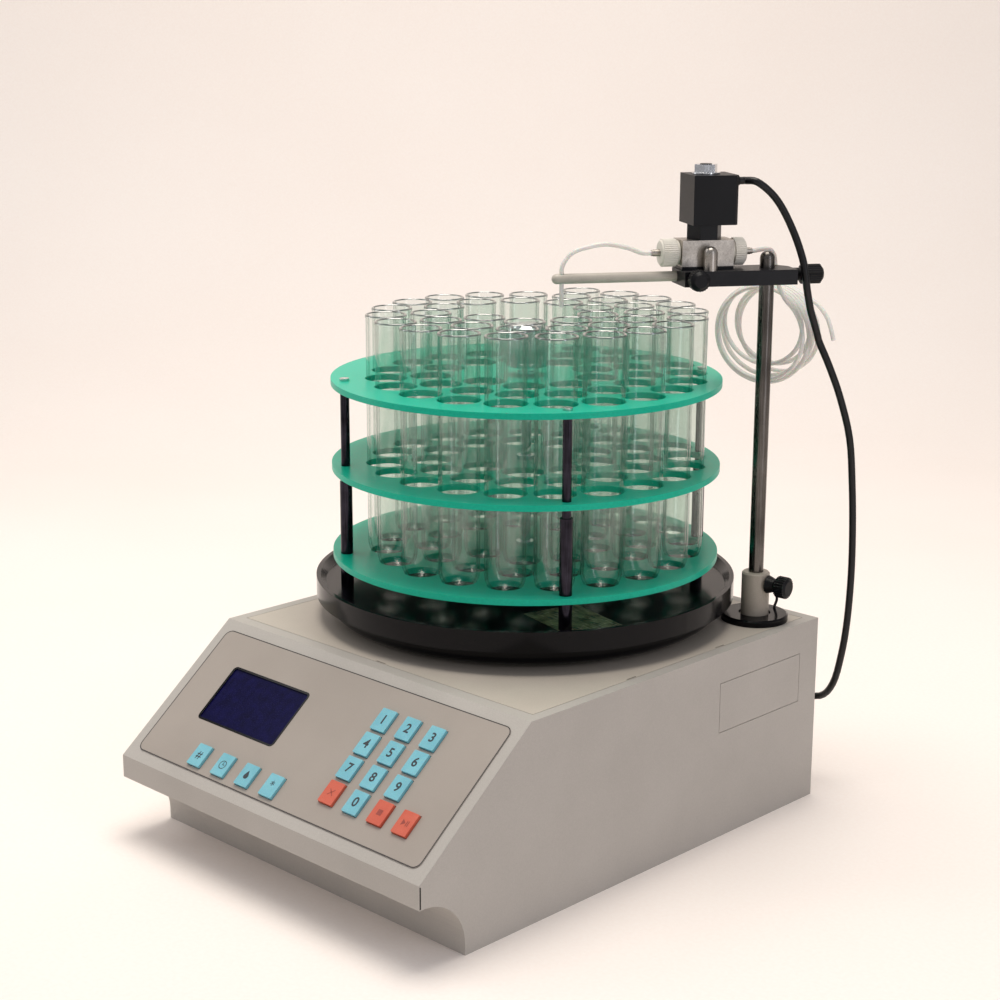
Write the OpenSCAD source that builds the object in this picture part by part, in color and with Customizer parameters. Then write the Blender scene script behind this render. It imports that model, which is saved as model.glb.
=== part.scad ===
// Fraction collector: a wedge-shaped base with a keypad, a turntable dish that
// carries a three-disc spiral rack of test tubes, and a swinging dropper arm
// with a solenoid valve. Units are millimetres. +Z is up, the control panel
// faces -Y, and the origin is on the floor under the middle of the base.

/* [Base] */
// width of the base
base_w = 300; // [260:1:360]
// depth of the base, front lip to rear wall
base_d = 398; // [370:1:440]
// height of the base
base_h = 136.5; // [125:0.5:160]
// sheet thickness of the housing
wall = 1.8; // [1.2:0.1:3]
// height of the lip's lower edge
lip_bottom = 42.5; // [40:0.5:50]
// height of the lip's upper edge, where the slope starts
lip_top = 58.5; // [54:0.5:66]
// depth of the sloped panel, measured along the floor
slope_run = 96; // [90:0.5:110]
// radius of the quarter-round recess under the lip
recess_r = 35.3; // [25:0.1:36]
// thickness of the bottom plate
bottom_t = 2; // [1.5:0.1:3]
// gap between inset panels and the housing
seam = 0.4; // [0.2:0.05:0.8]

/* [Top panel] */
// thickness of the top panel
panel_t = 1.8; // [1.2:0.1:3]
// bare margin of the housing beside the top panel
panel_margin = 8.5; // [6:0.5:14]
// bare margin of the housing in front of the top panel
panel_front = 10; // [8:0.5:16]
// ledge that the top panel rests on
ledge = 7; // [4:0.5:10]
// length of the small slots along the seam
slot_l = 9; // [6:0.5:14]
// width of the small slots along the seam
slot_w = 1.2; // [0.8:0.1:2]

/* [Control panel] */
// width of the grey label
label_w = 283; // [270:1:290]
// height of the grey label along the slope
label_h = 107; // [104:0.5:112]
// distance from the slope's lower edge to the label
label_s = 8.5; // [6:0.5:11]
// thickness of the label
label_t = 0.5; // [0.3:0.1:0.8]
// corner radius of the label
label_r = 6; // [2:0.5:10]
// width of the display window
window_w = 80; // [70:0.5:90]
// height of the display window along the slope
window_h = 44; // [36:0.5:50]
// middle of the display window across the base
window_x = -69.5; // [-76:0.5:-60]
// middle of the display window along the slope
window_s = 68; // [64:0.5:72]
// width of a key cap
key_w = 13; // [10:0.5:16]
// height of a key cap along the slope
key_h = 16.5; // [12:0.5:18]
// how far a key cap stands out of the label
key_rise = 2; // [1.5:0.1:4]
// key pitch across the keypad
key_dx = 22.8; // [20:0.1:26]
// key pitch along the slope in the keypad
key_ds = 19.4; // [19:0.1:21]
// middle of the keypad's left column
keypad_x = 44.6; // [38:0.1:48]
// middle of the keypad's lowest row along the slope
keypad_s = 32; // [30:0.1:36]
// key pitch in the row under the display
row_dx = 25.4; // [20:0.1:30]
// middle of the first key under the display
row_x = -81; // [-90:0.5:-76]
// middle of that row along the slope
row_s = 20.7; // [20:0.1:26]
// free gap around a key cap
key_gap = 0.3; // [0.2:0.05:0.6]
// travel of a key
key_travel = 1.2; // [0.5:0.1:2]

/* [Turntable] */
// air between the dish's body and the column's flange
flange_gap = 0.6; // [0.4:0.1:3]
// air between the dish's rim and the column's collar
rim_gap = 5.6; // [4:0.1:10]
// outer radius of the dish's rim band
dish_r = 151.5; // [146:0.5:153]
// radius of the dish's lower body
dish_body_r = 142.5; // [138:0.5:146]
// height of the rim above the top panel
dish_h = 30.5; // [28:0.5:36]
// height of the rim band
band_h = 14.5; // [10:0.5:18]
// gap between the dish and the top panel
dish_gap = 3; // [2:0.5:6]
// wall of the dish
dish_t = 3; // [2:0.1:4]
// depth of the dish's floor below its rim
dish_depth = 5.5; // [4:0.5:9]
// diameter of the spindle
spindle_d = 12; // [10:0.5:16]
// running clearance of the spindle and shafts, on the radius
running = 0.05; // [0.02:0.01:0.1]
// module of the drive gears
gear_m = 1; // [0.8:0.1:1.2]
// teeth of the turntable gear
gear_z = 80; // [60:1:90]
// teeth of the motor pinion
pinion_z = 16; // [14:1:20]
// thickness of the drive gears
gear_t = 8; // [5:0.5:12]

/* [Rack] */
// radius of the three rack discs
disc_r = 139; // [137:0.5:144]
// thickness of a rack disc
disc_t = 4.2; // [3:0.1:6]
// height of the lowest disc above the dish floor
foot_h = 19.8; // [12:0.1:26]
// height from one disc to the next, lower pair
disc_step_low = 64; // [50:0.5:80]
// height from one disc to the next, upper pair
disc_step_high = 61; // [50:0.5:80]
// radius that the posts stand on
post_ring_r = 130; // [129:0.5:132]
// diameter of the bare posts
post_d = 6.4; // [5:0.1:7]
// diameter of the black sleeves and feet
sleeve_d = 8.8; // [7:0.1:9]
// bare stretch of post above each sleeve
sleeve_gap = 7; // [3:0.5:12]
// diameter of the lifting knob
grip_d = 30; // [24:1:36]

/* [Test tubes] */
// outside diameter of a tube
tube_d = 28.5; // [26:0.1:29]
// length of a tube
tube_l = 177.5; // [165:0.5:200]
// glass thickness
tube_wall = 1.5; // [1:0.1:2]
// diameter of the tube's lip
tube_lip_d = 29.4; // [28.5:0.1:30]
// diameter of a hole in the upper discs
hole_d = 30; // [29.8:0.1:31]
// diameter of a seat hole in the lowest disc
seat_d = 25; // [18:0.5:26]
// number of tube places
tube_count = 40; // [30:1:40]
// radius of the first tube place
spiral_r = 121.1; // [120:0.1:122]
// direction of the first tube place
spiral_start = 113.5; // [110:0.5:116]
// spacing of neighbouring tubes
tube_pitch = 33.1; // [33:0.1:33.6]
// inward step of the spiral in one turn
spiral_step = 31.8; // [31.5:0.1:32]
// place of the tube that is lifted out, counted from 0
lift_place = 10; // [9:1:11]
// air under a seated tube
seat_air = 0.3; // [0.1:0.05:0.5]

/* [Column] */
// column axis to the base's right side
col_side = 32; // [28:0.5:36]
// column axis to the base's rear
col_rear = 34; // [31:0.5:40]
// diameter of the column rod
col_d = 10.5; // [8:0.5:14]
// column's domed top above the deck
col_h = 265.5; // [258:0.5:275]
// radius of the black flange
flange_r = 24; // [20:0.5:26]
// thickness of the black flange
flange_t = 5; // [3:0.5:8]
// diameter of the beige collar
collar_d = 20; // [18:0.5:26]
// collar's top above the deck
collar_h = 35.5; // [30:0.5:50]

/* [Arm] */
// direction of the arm seen from above
arm_angle = 236.8; // [230:0.1:242]
// column's top above the clamp bar's underside
bar_drop = 22; // [18:0.5:24]
// height of the clamp bar
bar_h = 10.4; // [9:0.1:14]
// width of the clamp bar
bar_w = 30; // [26:0.5:34]
// reach of the clamp bar from the column towards the dropper
bar_out = 64; // [58:0.5:70]
// reach of the clamp bar behind the column
bar_back = 17; // [14:0.5:20]
// diameter of the dropper rod
rod_d = 7; // [5:0.5:8]
// sideways place of the dropper rod and the valve
line_v = -6; // [-8:0.5:-4]
// distance from the column to the dropper hole
reach = 145; // [142:0.5:150]
// diameter of the silicone tube
hose_d = 3.2; // [2.5:0.1:4]
// width of the valve block along the arm
valve_w = 37; // [30:0.5:40]
// depth of the valve block
valve_depth = 20.6; // [18:0.2:22]
// height of the valve block
valve_h = 18; // [16:0.5:22]
// valve axis along the arm
valve_u = 44.5; // [43:0.5:47]
// height of the hexagonal neck
neck_h = 10.6; // [8:0.2:14]
// side of the square coil
coil_w = 32; // [28:0.5:34]
// height of the coil
coil_h = 33.5; // [28:0.5:40]
// diameter of the valve cable
cable_d = 5.2; // [4:0.1:7]

/* [View] */
// node to draw

/* [Hidden] */
$fn = 64;
touch = 0.05;                       // stand-off of faces that touch
slope_angle = atan((base_h - lip_top) / slope_run);
front = -base_d / 2;
rear = base_d / 2;
side = base_w / 2;
recess_y = 2.9;                     // centre of the recess's arc behind the lip
recess_z = lip_bottom - sqrt(pow(recess_r, 2) - pow(recess_y, 2));
deck = base_h;                      // top of the top panel
col_x = side - col_side;
col_y = rear - col_rear;
column_turn = 36.972;               // direction from the turntable to the column
column_reach = max(dish_body_r + flange_r + flange_gap, dish_r + collar_d / 2 + rim_gap);
turn_x = col_x - column_reach * cos(column_turn);
turn_y = col_y - column_reach * sin(column_turn);
col_top = deck + col_h;
collar_top = deck + collar_h;
bar_z = col_top - bar_drop;
knob_h = collar_top - 8;            // axis of the collar's thumbscrew
dish_z = deck + dish_gap;
rim_z = deck + dish_h;
floor_z = rim_z - dish_depth;
disc1 = floor_z + foot_h + disc_t;  // upper faces of the discs
disc2 = disc1 + disc_step_low;
disc3 = disc2 + disc_step_high;
seat_drop = tube_d / 2 - sqrt(pow(tube_d, 2) - pow(seat_d, 2)) / 2;
tube_z = disc1 - seat_drop + seat_air;
post_turn = -34.5;                  // direction of the front post
gear_z0 = 62;                       // underside of the turntable gear
gear_reach = gear_m * (gear_z + pinion_z) / 2;
pinion_turn = 200;                  // direction from the spindle to the motor
backlash = 0.25;
bar_top = bar_z + bar_h;
pad_t = 2;                          // raised pad under the valve
valve_z = bar_top + pad_t;
port_z = valve_z + valve_h / 2;
neck_z = valve_z + valve_h;
coil_z = neck_z + neck_h + touch;
coil_top = coil_z + coil_h;
neck_d = 24.6;                      // over the corners of the neck's hexagon
core_d = 12;                        // tube that carries the coil
plunger_d = 9.6;
coil_shift = -3;                    // the coil's bore is off its middle
rod_z = bar_z + bar_h / 2;
nut_r = 9.6;
nut_l = 13;
nozzle = 6;                         // nozzle beyond its nut
nozzle_d = 4.2;
hose_in = 8;                        // hose inside its nozzle
hose_start = valve_u + valve_w / 2 + nut_l + nozzle;
hose_back = valve_u - valve_w / 2 - nut_l + 2.5 - nozzle;
tie = [117, 188.5, 366];            // where the spare hose's loops meet
loops = 6;
loop_step = 3.9;                    // from one loop to the next
loop_r0 = 35.5;                     // largest and smallest loop
loop_r1 = 27;
loop_wide = 1.2;                    // width of a loop over its height
socket = [100, 62];                 // valve socket on the rear wall, x and z
inlet = [-95, 52];                  // mains inlet on the rear wall, x and z
rocker = [-45, 52];
inlet_w = 27;                       // body of the mains inlet
inlet_h = 19;
rocker_w = 19;                      // body of the power switch
rocker_h = 12.8;
rocker_pin = 2.4;                   // the rocker's pivot
lead_d = 2;

// Cord routes: points chosen from the photograph.
outlet_pts = [[7, 0.2], [16, 3.6], [29, 6.4], [38, 6.2], [45, 4.8], [51.3, 3.2], [57.4, 0],
              [61.6, -5.5]];
hose_turn_pts = [[107.5, 189, 388], [109, 190, 377]];
hose_end_pts = [[128, 212.5, 361], [138, 212, 351], [144, 211, 337]];
cable_up_pts = [[9.5, 0, 449], [-1, 1, 441], [-9, 3, 430], [-17, 6, 413], [-22, 9.5, 397],
                [-24, 11, 386], [-26, 10.5, 375], [-30, 8, 361], [-32.4, 6.8, 355],
                [-34.2, 5.9, 350.5]];
cable_split = [-36, 5, 346];
cable_below = [[-36.04, 4.98, 345.9], [-37.8, 4.1, 341.5], [-39.6, 3.2, 337]];
cable_low_pts = [[148, 201, 321], [153, 209, 298], [158, 216, 268], [160, 219, 235],
                 [161, 221, 200], [161, 222, 165], [160, 221, 130], [157, 220, 104],
                 [149, 223, 80], [134, 229, 65]];
// from the column's axis and the deck
lead_pts = [[4, 18.5, -1.6], [4, 18.5, 1.5], [4, 18.5, 5.5], [4.8, 20.2, 11.5], [3.8, 19, 17.5],
            [1.8, 16.2, 20.9], [0, 14, 21.5], [0, 12, 21.5]];

// Key places: across the base, and along the slope.
function pad_key(col, row) = [keypad_x + col * key_dx, keypad_s + row * key_ds];
function row_key(i) = [row_x + i * row_dx, row_s];
keys = [pad_key(0, 3), pad_key(1, 3), pad_key(2, 3), pad_key(0, 2), pad_key(1, 2),
        pad_key(2, 2), pad_key(0, 1), pad_key(1, 1), pad_key(2, 1), pad_key(1, 0),
        pad_key(0, 0), pad_key(2, 0), pad_key(3, 0), row_key(0), row_key(1),
        row_key(2), row_key(3)];

// Spiral places: [radius, angle] at an equal straight spacing, going inwards.
function spiral_at(turn) = spiral_r - spiral_step * turn / 360;
function spiral_next(turn) =
  let(r1 = spiral_at(turn),
      r2 = spiral_at(turn + 57.3 * tube_pitch / r1),
      rise = r1 - r2)
  turn + 2 * asin(sqrt((tube_pitch * tube_pitch - rise * rise) / (4 * r1 * r2)));
function spiral_turn(i) = i == 0 ? 0 : spiral_next(spiral_turn(i - 1));
places = [for (i = [0:tube_count - 1]) let(t = spiral_turn(i))
  [spiral_at(t) * cos(spiral_start - t), spiral_at(t) * sin(spiral_start - t)]];

// Swept round tube along points; ref is never parallel to the path.
function unit(v) = v / norm(v);
function heading(p, i) = unit(p[min(i + 1, len(p) - 1)] - p[max(i - 1, 0)]);
function ring(p, i, r, n, ref) =
  let(t = heading(p, i), a = unit(cross(t, ref)), b = cross(t, a))
  [for (k = [0:n - 1]) p[i] + r * (cos(360 * k / n) * a + sin(360 * k / n) * b)];
function spline(a, b, c, d, t) =
  0.5 * (2 * b + (c - a) * t + (2 * a - 5 * b + 4 * c - d) * t * t
         + (3 * b - a - 3 * c + d) * t * t * t);
function smooth_path(p, k) =
  let(m = len(p) - 1)
  concat([for (i = [0:m - 1], j = [0:k - 1])
    spline(p[max(i - 1, 0)], p[i], p[i + 1], p[min(i + 2, m)], j / k)], [p[m]]);

module swept(p, r, n, ref) {
  m = len(p);
  pts = [for (i = [0:m - 1]) each ring(p, i, r, n, ref)];
  walls = [for (i = [0:m - 2], k = [0:n - 1])
    [i * n + k, (i + 1) * n + k, (i + 1) * n + (k + 1) % n, i * n + (k + 1) % n]];
  first = [[for (k = [0:n - 1]) k]];
  last = [[for (k = [0:n - 1]) m * n - 1 - k]];
  polyhedron(points = pts, faces = concat(walls, first, last), convexity = 8);
}

module rounded(w, h, r) {
  square([w - 2 * r, h], center = true);
  square([w, h - 2 * r], center = true);
  for (x = [-1, 1], y = [-1, 1])
    translate([x * (w / 2 - r), y * (h / 2 - r)]) circle(r = r, $fn = 32);
}

module on_slope() {
  translate([0, front, lip_top]) rotate([slope_angle, 0, 0]) children();
}

module on_turntable() {
  translate([turn_x, turn_y, 0]) children();
}

module in_arm() {
  translate([col_x, col_y, 0]) rotate([0, 0, arm_angle]) children();
}

function arm_point(p) = [
  col_x + p[0] * cos(arm_angle) - p[1] * sin(arm_angle),
  col_y + p[0] * sin(arm_angle) + p[1] * cos(arm_angle), p[2]];

// Side profile of the base, moved inwards by t.
function recess_arc(t) =
  let(r = recess_r + t, a1 = acos((t - recess_y) / r))
  [for (k = [0:12]) let(a = a1 * k / 12)
    [front + recess_y + r * cos(a), recess_z + r * sin(a)]];
function base_profile(t, top_t) =
  let(lift = t / cos(slope_angle) - t * tan(slope_angle),
      top = base_h - top_t,
      run = (top - lip_top + t / cos(slope_angle)) / tan(slope_angle))
  concat([[front + recess_y + recess_r + t, 0]], recess_arc(t),
    [[front + t, lip_top - lift], [front + run, top], [rear - t, top], [rear - t, 0]]);

module base_solid(t, top_t, cut) {
  w = base_w - 2 * t;
  translate([-w / 2, 0, -cut]) rotate([90, 0, 90])
    linear_extrude(w) union() {
      translate([0, cut]) polygon(base_profile(t, top_t));
      if (cut > 0) translate([front + recess_y + recess_r + t, 0])
        square([base_d - recess_y - recess_r - 2 * t, cut + 10]);
    }
}

top_y0 = front + slope_run + panel_front;
top_y1 = rear - panel_margin;
module top_outline(grow) {
  translate([0, (top_y0 + top_y1) / 2])
    square([base_w - 2 * panel_margin + 2 * grow, top_y1 - top_y0 + 2 * grow], center = true);
}

module seam_slots() {
  for (x = [-1, 1], y = [2.5, 96])
    translate([x * (side - panel_margin - slot_w), y]) square([slot_w, slot_l], center = true);
  translate([0, top_y0 + slot_w]) square([slot_l, slot_w], center = true);
}

cover_y = [86, 178];                // side cover along the base
cover_z = [78, 114];                // and in height
module side_cover_outline(grow) {
  translate([(cover_y[0] + cover_y[1]) / 2, (cover_z[0] + cover_z[1]) / 2])
    square([cover_y[1] - cover_y[0] + 2 * grow, cover_z[1] - cover_z[0] + 2 * grow],
           center = true);
}

module housing() {
  color([0.78, 0.75, 0.70]) difference() {
    base_solid(0, 0, 0);
    base_solid(wall, 2 * wall, 10);
    translate([0, 0, base_h - panel_t - touch]) linear_extrude(panel_t + 1) top_outline(seam);
    translate([0, 0, base_h - 3 * wall]) linear_extrude(3 * wall) top_outline(-ledge);
    on_slope() {
      translate([window_x, window_s, -3 * wall])
        linear_extrude(6 * wall) rounded(window_w + 2 * key_gap, window_h + 2 * key_gap, 3);
      for (k = keys) translate([k[0], k[1], -3 * wall])
        linear_extrude(6 * wall) square([key_w + 2 * key_gap, key_h + 2 * key_gap], center = true);
    }
    // rectangular opening of the side cover, with a rebate left behind it
    translate([side - wall / 2, 0, 0]) rotate([90, 0, 90])
      linear_extrude(wall) side_cover_outline(seam / 2);
    translate([inlet[0], rear, inlet[1]])
      cube([inlet_w + seam, 4 * wall, inlet_h + seam], center = true);
    translate([rocker[0], rear, rocker[1]])
      cube([rocker_w + seam, 4 * wall, rocker_h + seam], center = true);
    translate([socket[0], rear + wall, socket[1]]) rotate([90, 0, 0])
      cylinder(d = 16.2, h = 4 * wall);
  }
}

module top_panel() {
  color([0.80, 0.77, 0.72]) translate([0, 0, base_h - panel_t]) difference() {
    linear_extrude(panel_t) difference() {
      top_outline(0);
      seam_slots();
    }
    on_turntable() translate([0, 0, -1]) cylinder(d = 40.6, h = panel_t + 2);
    translate([col_x, col_y, -1]) cylinder(d = collar_d - 4 + 0.6, h = panel_t + 2);
    translate([col_x + lead_pts[0][0], col_y + lead_pts[0][1], -1])
      cylinder(d = lead_d + 0.6, h = panel_t + 2);
    for (a = [0:90:270]) on_turntable() rotate(a + 45)
      translate([27, 0, -1]) cylinder(d = 4.2, h = panel_t + 2);
  }
}

module bottom_plate() {
  y0 = front + recess_y + recess_r + wall + touch;
  y1 = rear - wall - touch;
  color([0.55, 0.55, 0.55]) difference() {
    translate([-(side - wall - touch), y0, 0])
      cube([base_w - 2 * wall - 2 * touch, y1 - y0, bottom_t]);
    for (x = [-100:20:100]) translate([x, 130, -1]) cube([3, 30, bottom_t + 2]);
  }
}

module side_cover() {
  color([0.76, 0.73, 0.68]) translate([side - wall / 2 + touch, 0, 0]) rotate([90, 0, 90])
    linear_extrude(wall / 2 - touch) side_cover_outline(-seam / 2);
}

module control_label() {
  color([0.62, 0.60, 0.58]) on_slope() difference() {
    translate([0, label_s + label_h / 2, touch]) linear_extrude(label_t)
      rounded(label_w, label_h, label_r);
    translate([window_x, window_s, -1]) linear_extrude(3) rounded(window_w, window_h, 3);
    for (k = keys) translate([k[0], k[1], -1])
      linear_extrude(3) square([key_w + 2 * key_gap, key_h + 2 * key_gap], center = true);
  }
}

module display_window() {
  color([0.09, 0.09, 0.28]) on_slope() translate([window_x, window_s, 0]) {
    translate([0, 0, -wall - touch]) linear_extrude(wall - 0.25) rounded(window_w, window_h, 3);
    translate([0, 0, -wall - 1.7]) linear_extrude(1.7 - touch) rounded(window_w + 6, window_h + 5, 3);
  }
}

board_n = -10.5;                    // upper face of the key boards, below the slope
// Circuit board on stand-offs from the housing's inner face.
module board(x, s0, w, h, dx, dy) {
  translate([x, s0, board_n - 1.6]) linear_extrude(1.6) square([w, h], center = true);
  for (i = [-1, 1], j = [-1, 1])
    translate([x + i * dx, s0 + j * dy, board_n - 0.5])
      cylinder(d = 5, h = -wall - touch - board_n + 0.5);
}

module circuit_boards() {
  pad_x = keypad_x + key_dx;
  pad_s = keypad_s + 1.5 * key_ds;
  color([0.10, 0.35, 0.20]) {
    on_slope() {
      board(window_x, window_s, window_w + 24, 58, window_w / 2 + 8.5, 20);
      translate([window_x, window_s, board_n - 0.1])
        linear_extrude(-wall - 1.75 - board_n) square([window_w + 6, window_h + 5], center = true);
      board(pad_x, pad_s, 2 * key_dx + 38, 3 * key_ds + 20, key_dx / 2, 1.5 * key_ds);
      translate([keypad_x + 3 * key_dx, keypad_s, board_n - 1.6])
        linear_extrude(1.6) square([18, 20], center = true);
      board(row_x + 1.5 * row_dx, row_s, 3 * row_dx + 18, 17, row_dx, 4);
      for (k = keys) translate([k[0], k[1], board_n - 0.1]) linear_extrude(4.1) square(6, center = true);
    }
    // main board on stand-offs, its capacitors, and the mains transformer
    translate([-70, -60, bottom_t + 8]) linear_extrude(1.6) square([120, 90], center = true);
    for (x = [-125, -15], y = [-100, -20]) translate([x, y, bottom_t]) cylinder(d = 7, h = 9);
    for (p = [[-100, -75, 14], [-60, -80, 10], [-40, -45, 18]])
      translate([p[0], p[1], bottom_t + 9]) cylinder(d = p[2], h = 20);
    translate([-120, 110, bottom_t]) cube([50, 60, 42]);
    translate([-127, 118, bottom_t]) cube([64, 44, 3]);
  }
}

motor_d = 50;
motor_h = 30;
motor_at = gear_reach * [cos(pinion_turn), sin(pinion_turn)];
module drive_motors() {
  color([0.62, 0.62, 0.64]) {
    // geared motor of the turntable on a bracket that stands on the bottom plate
    on_turntable() translate([motor_at[0], motor_at[1], 0]) {
      translate([0, 0, gear_z0 - 6 - motor_h]) cylinder(d = motor_d, h = motor_h);
      translate([0, 0, gear_z0 - 6]) cylinder(d = 12, h = 2);
      translate([0, 0, gear_z0 - 6]) cylinder(d = 5, h = gear_t + 10);
      for (s = [-1, 1]) translate([s * 31, 0, 0]) {
        translate([-1.5, -12, bottom_t]) cube([3, 24, gear_z0 - 6 - bottom_t]);
        translate([s > 0 ? -8 : -1.5, -12, gear_z0 - 9]) cube([9.5, 24, 3]);
      }
    }
    // motor of the column, hung under the top panel on a plate
    translate([col_x, col_y, 0]) {
      translate([0, 0, base_h - 24 - 34]) cylinder(d = 42, h = 34);
      translate([-22, -22, base_h - 24]) cube([44, 44, 2]);
      for (x = [-18, 18], y = [-18, 18])
        translate([x, y, base_h - 22]) cylinder(d = 6, h = 22 - panel_t - 2 * wall + panel_t);
      translate([0, 0, base_h - 22]) cylinder(d = 6, h = 14);
    }
  }
}

bearing_h = 46;
module bearing_housing() {
  color([0.70, 0.62, 0.40]) on_turntable() difference() {
    union() {
      translate([0, 0, deck - panel_t - bearing_h]) cylinder(d = 34, h = bearing_h + panel_t);
      translate([0, 0, deck - panel_t - 4 - touch]) cylinder(d = 64, h = 4);
      translate([0, 0, deck - panel_t - 0.5]) cylinder(d = 40, h = panel_t + 0.5);
    }
    translate([0, 0, deck - panel_t - bearing_h - 1])
      cylinder(d = spindle_d + 2 * running, h = bearing_h + 10);
    for (a = [0:90:270]) rotate(a + 45) translate([27, 0, deck - 10]) cylinder(d = 3.4, h = 12);
  }
}

module rear_connectors() {
  color([0.06, 0.06, 0.07]) {
    // mains inlet with its recess, flanged against the rear wall
    translate([inlet[0], rear, inlet[1]]) difference() {
      union() {
        translate([-24, touch, -15]) cube([48, 3, 30]);
        translate([-inlet_w / 2, -22, -inlet_h / 2]) cube([inlet_w, 22.5, inlet_h]);
      }
      translate([-12, -15, -8]) cube([24, 20, 16]);
    }
    for (p = [[-4, -2], [4, -2], [0, 3]])
      translate([inlet[0] + p[0] * 1.75 - 1, rear - 15.5, inlet[1] + p[1] - 1]) cube([2, 12, 2]);
    // frame of the power rocker
    translate([rocker[0], rear, rocker[1]]) difference() {
      union() {
        translate([-11, touch, -8]) cube([22, 1.8, 16]);
        translate([-rocker_w / 2, -16, -rocker_h / 2]) cube([rocker_w, 16.5, rocker_h]);
      }
      translate([-8, -7, -5.4]) cube([16, 12, 10.8]);
      rotate([0, 90, 0]) cylinder(d = rocker_pin + 2 * running, h = 18, center = true);
    }
    // round socket of the valve cable
    translate([socket[0], rear, socket[1]]) rotate([-90, 0, 0]) difference() {
      union() {
        translate([0, 0, -14]) cylinder(d = 16, h = 24);
        translate([0, 0, touch]) cylinder(d = 20, h = 2.5);
        translate([0, 0, 4]) cylinder(d = 18, h = 6);
      }
      translate([0, 0, 8]) cylinder(d = cable_d + 0.6, h = 3);
    }
  }
}

module power_rocker() {
  color([0.75, 0.08, 0.08]) translate([rocker[0], rear, rocker[1]]) rotate([0, 90, 0]) {
    translate([0, 0.8, -7.6]) linear_extrude(15.2)
      polygon([[-5, -0.5], [-4.6, 1.9], [0, 1.2], [5.0, 0.1], [4.8, -1.8], [0, -4.5]]);
    cylinder(d = rocker_pin, h = 17.6, center = true);
  }
}

// Key cap with a flange that holds it behind the housing.
module key_cap(i) {
  on_slope() translate([keys[i][0], keys[i][1], 0]) {
    translate([0, 0, -wall - 1]) linear_extrude(wall + 1 + touch + label_t + key_rise)
      rounded(key_w, key_h, 0.8);
    translate([0, 0, -wall - 2.2]) linear_extrude(1.8) square([key_w + 2, key_h + 1.6], center = true);
    translate([0, 0, board_n + 4 + key_travel + 0.4])
      cylinder(d = 4, h = -wall - 2 - board_n - 4 - key_travel - 0.4);
  }
}
module blue_key(i) { color([0.45, 0.78, 0.86]) key_cap(i); }
module red_key(i) { color([0.93, 0.38, 0.28]) key_cap(i); }

// Involute spur gear outline.
function inv_pt(rb, t) = [rb * (cos(t) + t * PI / 180 * sin(t)), rb * (sin(t) - t * PI / 180 * cos(t))];
function roll(r, rb) = sqrt(max(r * r / (rb * rb) - 1, 0)) * 180 / PI;
function tooth(z, m) =
  let(rp = m * z / 2, rb = rp * cos(20), ra = rp + m, rf = rp - 1.25 * m,
      t0 = roll(rf, rb), t1 = roll(ra, rb), tp = roll(rp, rb),
      lead = tp - atan(tp * PI / 180) + 90 / z - backlash / 2 / rp * 180 / PI,
      flank = [for (k = [0:4]) let(p = inv_pt(rb, t0 + (t1 - t0) * k / 4))
        [p[0] * cos(lead) + p[1] * sin(lead), p[1] * cos(lead) - p[0] * sin(lead)]],
      root = rb > rf ? [[rf * cos(lead), -rf * sin(lead)]] : [])
  concat(root, flank, [for (k = [4:-1:0]) [flank[k][0], -flank[k][1]]],
         [for (p = root) [p[0], -p[1]]]);
module spur(z, m, h) {
  t = tooth(z, m);
  linear_extrude(h)
    polygon([for (i = [0:z - 1]) each [for (p = t) let(a = 360 * i / z)
      [p[0] * cos(a) - p[1] * sin(a), p[0] * sin(a) + p[1] * cos(a)]]]);
}

module turntable_gear() {
  color([0.85, 0.83, 0.76]) on_turntable() translate([0, 0, gear_z0]) {
    difference() {
      union() {
        rotate(pinion_turn) spur(gear_z, gear_m, gear_t);
        translate([0, 0, -4]) cylinder(d = 24, h = 4.5);
      }
      translate([0, 0, -5]) cylinder(d = spindle_d + 2 * touch, h = gear_t + 15);
      for (a = [0:60:300]) rotate(a + 15) translate([24, 0, -1]) cylinder(d = 13, h = gear_t + 2);
    }
  }
}

module motor_pinion() {
  color([0.80, 0.70, 0.40]) on_turntable() translate([motor_at[0], motor_at[1], gear_z0 - 1])
    difference() {
      rotate(pinion_turn + 180 + 180 / pinion_z) spur(pinion_z, gear_m, gear_t + 2);
      translate([0, 0, -1]) cylinder(d = 5 + 2 * running, h = gear_t + 4);
    }
}

hub_r = 36;
stub_d = 10;                        // centring stub for the rack
module spindle() {
  color([0.70, 0.70, 0.72]) on_turntable() {
    translate([0, 0, gear_z0 - 6]) cylinder(d = spindle_d, h = deck + 5 - gear_z0 + 6);
    translate([0, 0, deck + 0.8]) cylinder(d = 26, h = floor_z - dish_t - 3 - deck - 0.8);
    translate([0, 0, floor_z - dish_t - 4]) cylinder(r = hub_r, h = 4 - touch);
    translate([0, 0, floor_z - dish_t - 1]) cylinder(d = stub_d, h = dish_t + 13);
  }
}

module dish() {
  color([0.08, 0.08, 0.09]) on_turntable() difference() {
    union() {
      translate([0, 0, rim_z - band_h]) cylinder(r = dish_r, h = band_h, $fn = 128);
      translate([0, 0, dish_z + 9]) cylinder(r = dish_body_r, h = rim_z - band_h - dish_z - 8, $fn = 128);
      rotate_extrude($fn = 128) {
        translate([0, dish_z]) square([dish_body_r - 9, 9.5]);
        translate([dish_body_r - 9, dish_z + 9]) circle(r = 9);
      }
    }
    translate([0, 0, -1]) cylinder(r = dish_r + 5, h = dish_z + 1);
    translate([0, 0, dish_z - 1]) cylinder(r = dish_body_r - 9 - dish_t, h = floor_z - dish_t - dish_z + 1, $fn = 128);
    translate([0, 0, floor_z]) cylinder(r1 = dish_r - dish_t - 4, r2 = dish_r - dish_t, h = dish_depth + 0.1, $fn = 128);
    translate([0, 0, floor_z - dish_t - 1]) cylinder(d = stub_d + 2 * touch, h = dish_t + 2);
  }
}

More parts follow.
